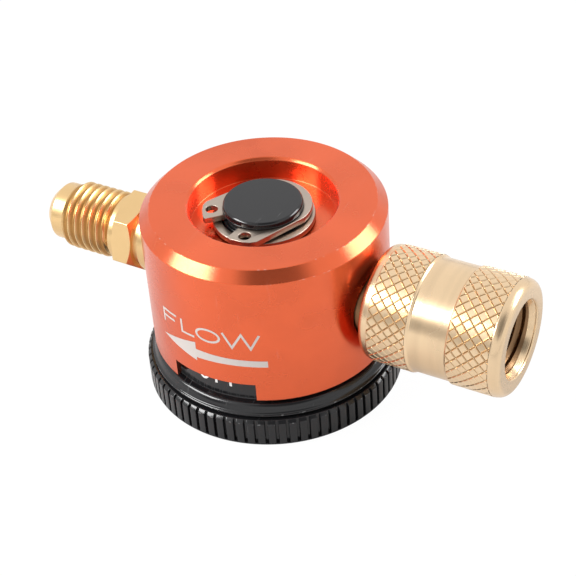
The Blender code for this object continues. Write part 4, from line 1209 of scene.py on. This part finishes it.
class REGULATOR_OT_inner_pieces(Operator):
    """Give the seals, seats, jet, detent and stop pin inside the housing their finishes"""

    bl_idname = "regulator.finish_inner_pieces"
    bl_label = "Inner Pieces"

    def execute(self, context):
        seals = ["spindle_o_ring_lower", "spindle_o_ring_upper", "inlet_seat_o_ring", "outlet_seat_o_ring"]
        for name, nodes in (
            ("seal_rubber_moulded", [*seals, "inlet_stem_o_ring", "outlet_fitting_o_ring"]),
            ("seat_plastic_moulded", ["inlet_seat", "outlet_seat"]),
            ("spring_steel_pressed", ["detent_ball", "detent_spring", "stop_pin"]),
            ("brass_turned", ["metering_orifice"]),
        ):
            for node in nodes:
                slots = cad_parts[node].data.materials
                slots.clear()
                slots.append(finish(name))
        return {"FINISHED"}


# Stage


def facing_way(azimuth, elevation):
    """A direction by its azimuth from the front, towards the nut, and its elevation."""
    flat = math.cos(elevation)
    return Vector((math.sin(azimuth) * flat, -math.cos(azimuth) * flat, math.sin(elevation)))


def soft_box(name, azimuth, elevation, width, height, level):
    """A lamp panel facing the regulator, whose level is the brightness that a mirror would show."""
    lamp = bpy.data.lights.new(name, "AREA")
    lamp.shape = "RECTANGLE"
    lamp.size, lamp.size_y = width, height
    lamp.energy = level * math.pi * width * height
    outward = facing_way(azimuth * DEG, elevation * DEG)
    obj = scratch_object(lamp)
    middle, distance = Vector((0, 0, 18 * MM)), 0.5
    obj.location = middle + outward * distance
    obj.rotation_euler = outward.to_track_quat("Z", "Y").to_euler()


def white_floor():
    """A matt floor that the camera sees as white, with a little of its shadow left."""
    shape = bmesh.new()
    bmesh.ops.create_grid(shape, x_segments=8, y_segments=8, size=3.0)
    mesh = to_mesh("floor", shape)
    mesh.transform(Matrix.Translation((0, 0, -0.05 * MM)))
    material = bpy.data.materials.new("white_floor")
    material.use_nodes = True
    material.node_tree.nodes.clear()
    nodes = Nodes(material.node_tree)
    matt_level, white, seen_share, mirrored_share = 0.62, 1.03, 0.94, 0.1
    matt = nodes.add("ShaderNodeBsdfDiffuse", {"Color": opaque((1, 1, 1), matt_level)})
    glow = nodes.add("ShaderNodeEmission", {"Color": (1, 1, 1, 1), "Strength": white})
    path = nodes.add("ShaderNodeLightPath").outputs
    mirrored = nodes.math("MAXIMUM", path["Is Glossy Ray"], path["Is Transmission Ray"])
    mirrored = nodes.math("MULTIPLY", mirrored, mirrored_share)
    share = nodes.math("MAXIMUM", mirrored, nodes.math("MULTIPLY", path["Is Camera Ray"], seen_share))
    blend = nodes.add("ShaderNodeMixShader", {0: share, 1: matt.outputs[0], 2: glow.outputs[0]})
    nodes.add("ShaderNodeOutputMaterial", {0: blend.outputs[0]})
    mesh.materials.append(material)
    return scratch_object(mesh)


def pale_room(room_level):
    """A world that the camera sees as white, and that metal shows with two dimmer patches."""
    world = bpy.data.worlds.new("pale_room")
    world.use_nodes = True
    world.node_tree.nodes.clear()
    nodes = Nodes(world.node_tree)
    direction = nodes.add("ShaderNodeTexCoord").outputs["Generated"]

    def dimmed(azimuth, elevation, inner, outer, dimmest):
        """The brightness round one direction, in degrees, from the dimmest inside to 1 outside."""
        facing = facing_way(azimuth * DEG, elevation * DEG)
        cosine = nodes.add("ShaderNodeVectorMath", {0: direction, 1: facing}, operation="DOT_PRODUCT")
        return nodes.ramp(cosine.outputs["Value"], math.cos(outer * DEG), math.cos(inner * DEG), 1.0, dimmest)

    room = nodes.math("MULTIPLY", dimmed(38, 50, 14, 32, 0.2), dimmed(-27, 12, 7, 16, 0.3))
    room = nodes.math("MULTIPLY", room, room_level)
    seen = nodes.add("ShaderNodeLightPath").outputs["Is Camera Ray"]
    strength = nodes.add("ShaderNodeMix", {0: seen, 2: room, 3: 1.0}, data_type="FLOAT").outputs[0]
    light = nodes.add("ShaderNodeBackground", {"Color": (1, 1, 1, 1), "Strength": strength})
    nodes.add("ShaderNodeOutputWorld", {0: light.outputs[0]})
    return world


def photo_camera(stage):
    back_way = facing_way(stage.azimuth, stage.elevation)
    level_right = Vector((math.cos(stage.azimuth), math.sin(stage.azimuth), 0))
    level_up = back_way.cross(level_right)
    right = level_right * math.cos(stage.roll) + level_up * math.sin(stage.roll)
    up = level_up * math.cos(stage.roll) - level_right * math.sin(stage.roll)
    data = bpy.data.cameras.new("camera")
    data.sensor_width = 36.0
    data.lens = stage.lens
    data.clip_start = 0.01
    camera = scratch_object(data)
    target = Vector((0, 0, 14 * MM)) + right * stage.aim_right + up * stage.aim_up
    turn = Matrix((right, up, back_way)).transposed().to_4x4()
    camera.matrix_world = Matrix.Translation(target + back_way * stage.distance) @ turn
    return camera


class REGULATOR_OT_stage(Operator):
    """Set out the white floor, the pale room, the soft boxes and the camera"""

    bl_idname = "regulator.build_stage"
    bl_label = "Stage"

    def execute(self, context):
        scene = context.scene
        stage = scene.regulator_stage
        floor = white_floor()
        scene.world = pale_room(stage.room_level)
        soft_box("soft_box_left", -46, 38, 0.28, 0.16, stage.lamp_level)
        soft_box("soft_box_right", 129, 30, 0.25, 0.17, stage.lamp_level * 0.6)
        scene.camera = photo_camera(stage)
        scene.view_settings.view_transform = "Standard"
        return {"FINISHED"}


class REGULATOR_PT_panel(Panel):
    """Sizes, colours and build steps of the regulator"""

    bl_label = "Nitrogen Flow Regulator"
    bl_idname = "REGULATOR_PT_panel"
    bl_space_type = "VIEW_3D"
    bl_region_type = "UI"
    bl_category = "Regulator"

    def draw(self, context):
        layout = self.layout
        for step in STEPS:
            layout.operator(step.bl_idname)
        for name, group in SETTINGS.items():
            layout.label(text=group.__name__.replace("Regulator", "").replace("Settings", ""))
            settings = getattr(context.scene, name)
            for key in group.__annotations__:
                layout.prop(settings, key)


SETTINGS = {
    "regulator_housing": RegulatorHousingSettings,
    "regulator_dial": RegulatorDialSettings,
    "regulator_nut": RegulatorNutSettings,
    "regulator_outlet": RegulatorOutletSettings,
    "regulator_markings": RegulatorMarkingSettings,
    "regulator_finishes": RegulatorFinishSettings,
    "regulator_stage": RegulatorStageSettings,
}
STEPS = (
    REGULATOR_OT_housing,
    REGULATOR_OT_dial,
    REGULATOR_OT_snap_ring,
    REGULATOR_OT_outlet,
    REGULATOR_OT_nut,
    REGULATOR_OT_stem,
    REGULATOR_OT_markings,
    REGULATOR_OT_inner_pieces,
    REGULATOR_OT_stage,
)


def register():
    for group in (*SETTINGS.values(), *STEPS, REGULATOR_PT_panel):
        bpy.utils.register_class(group)
    for name, group in SETTINGS.items():
        setattr(bpy.types.Scene, name, PointerProperty(type=group))


def unregister():
    for name in SETTINGS:
        delattr(bpy.types.Scene, name)
    for group in reversed((*SETTINGS.values(), *STEPS, REGULATOR_PT_panel)):
        bpy.utils.unregister_class(group)


def main():
    register()
    bpy.ops.regulator.build_housing()
    bpy.ops.regulator.build_dial()
    bpy.ops.regulator.build_snap_ring()
    bpy.ops.regulator.build_outlet()
    bpy.ops.regulator.build_nut()
    bpy.ops.regulator.build_stem()
    bpy.ops.regulator.build_markings()
    bpy.ops.regulator.finish_inner_pieces()
    bpy.ops.regulator.build_stage()


if __name__ == "__main__":
    main()
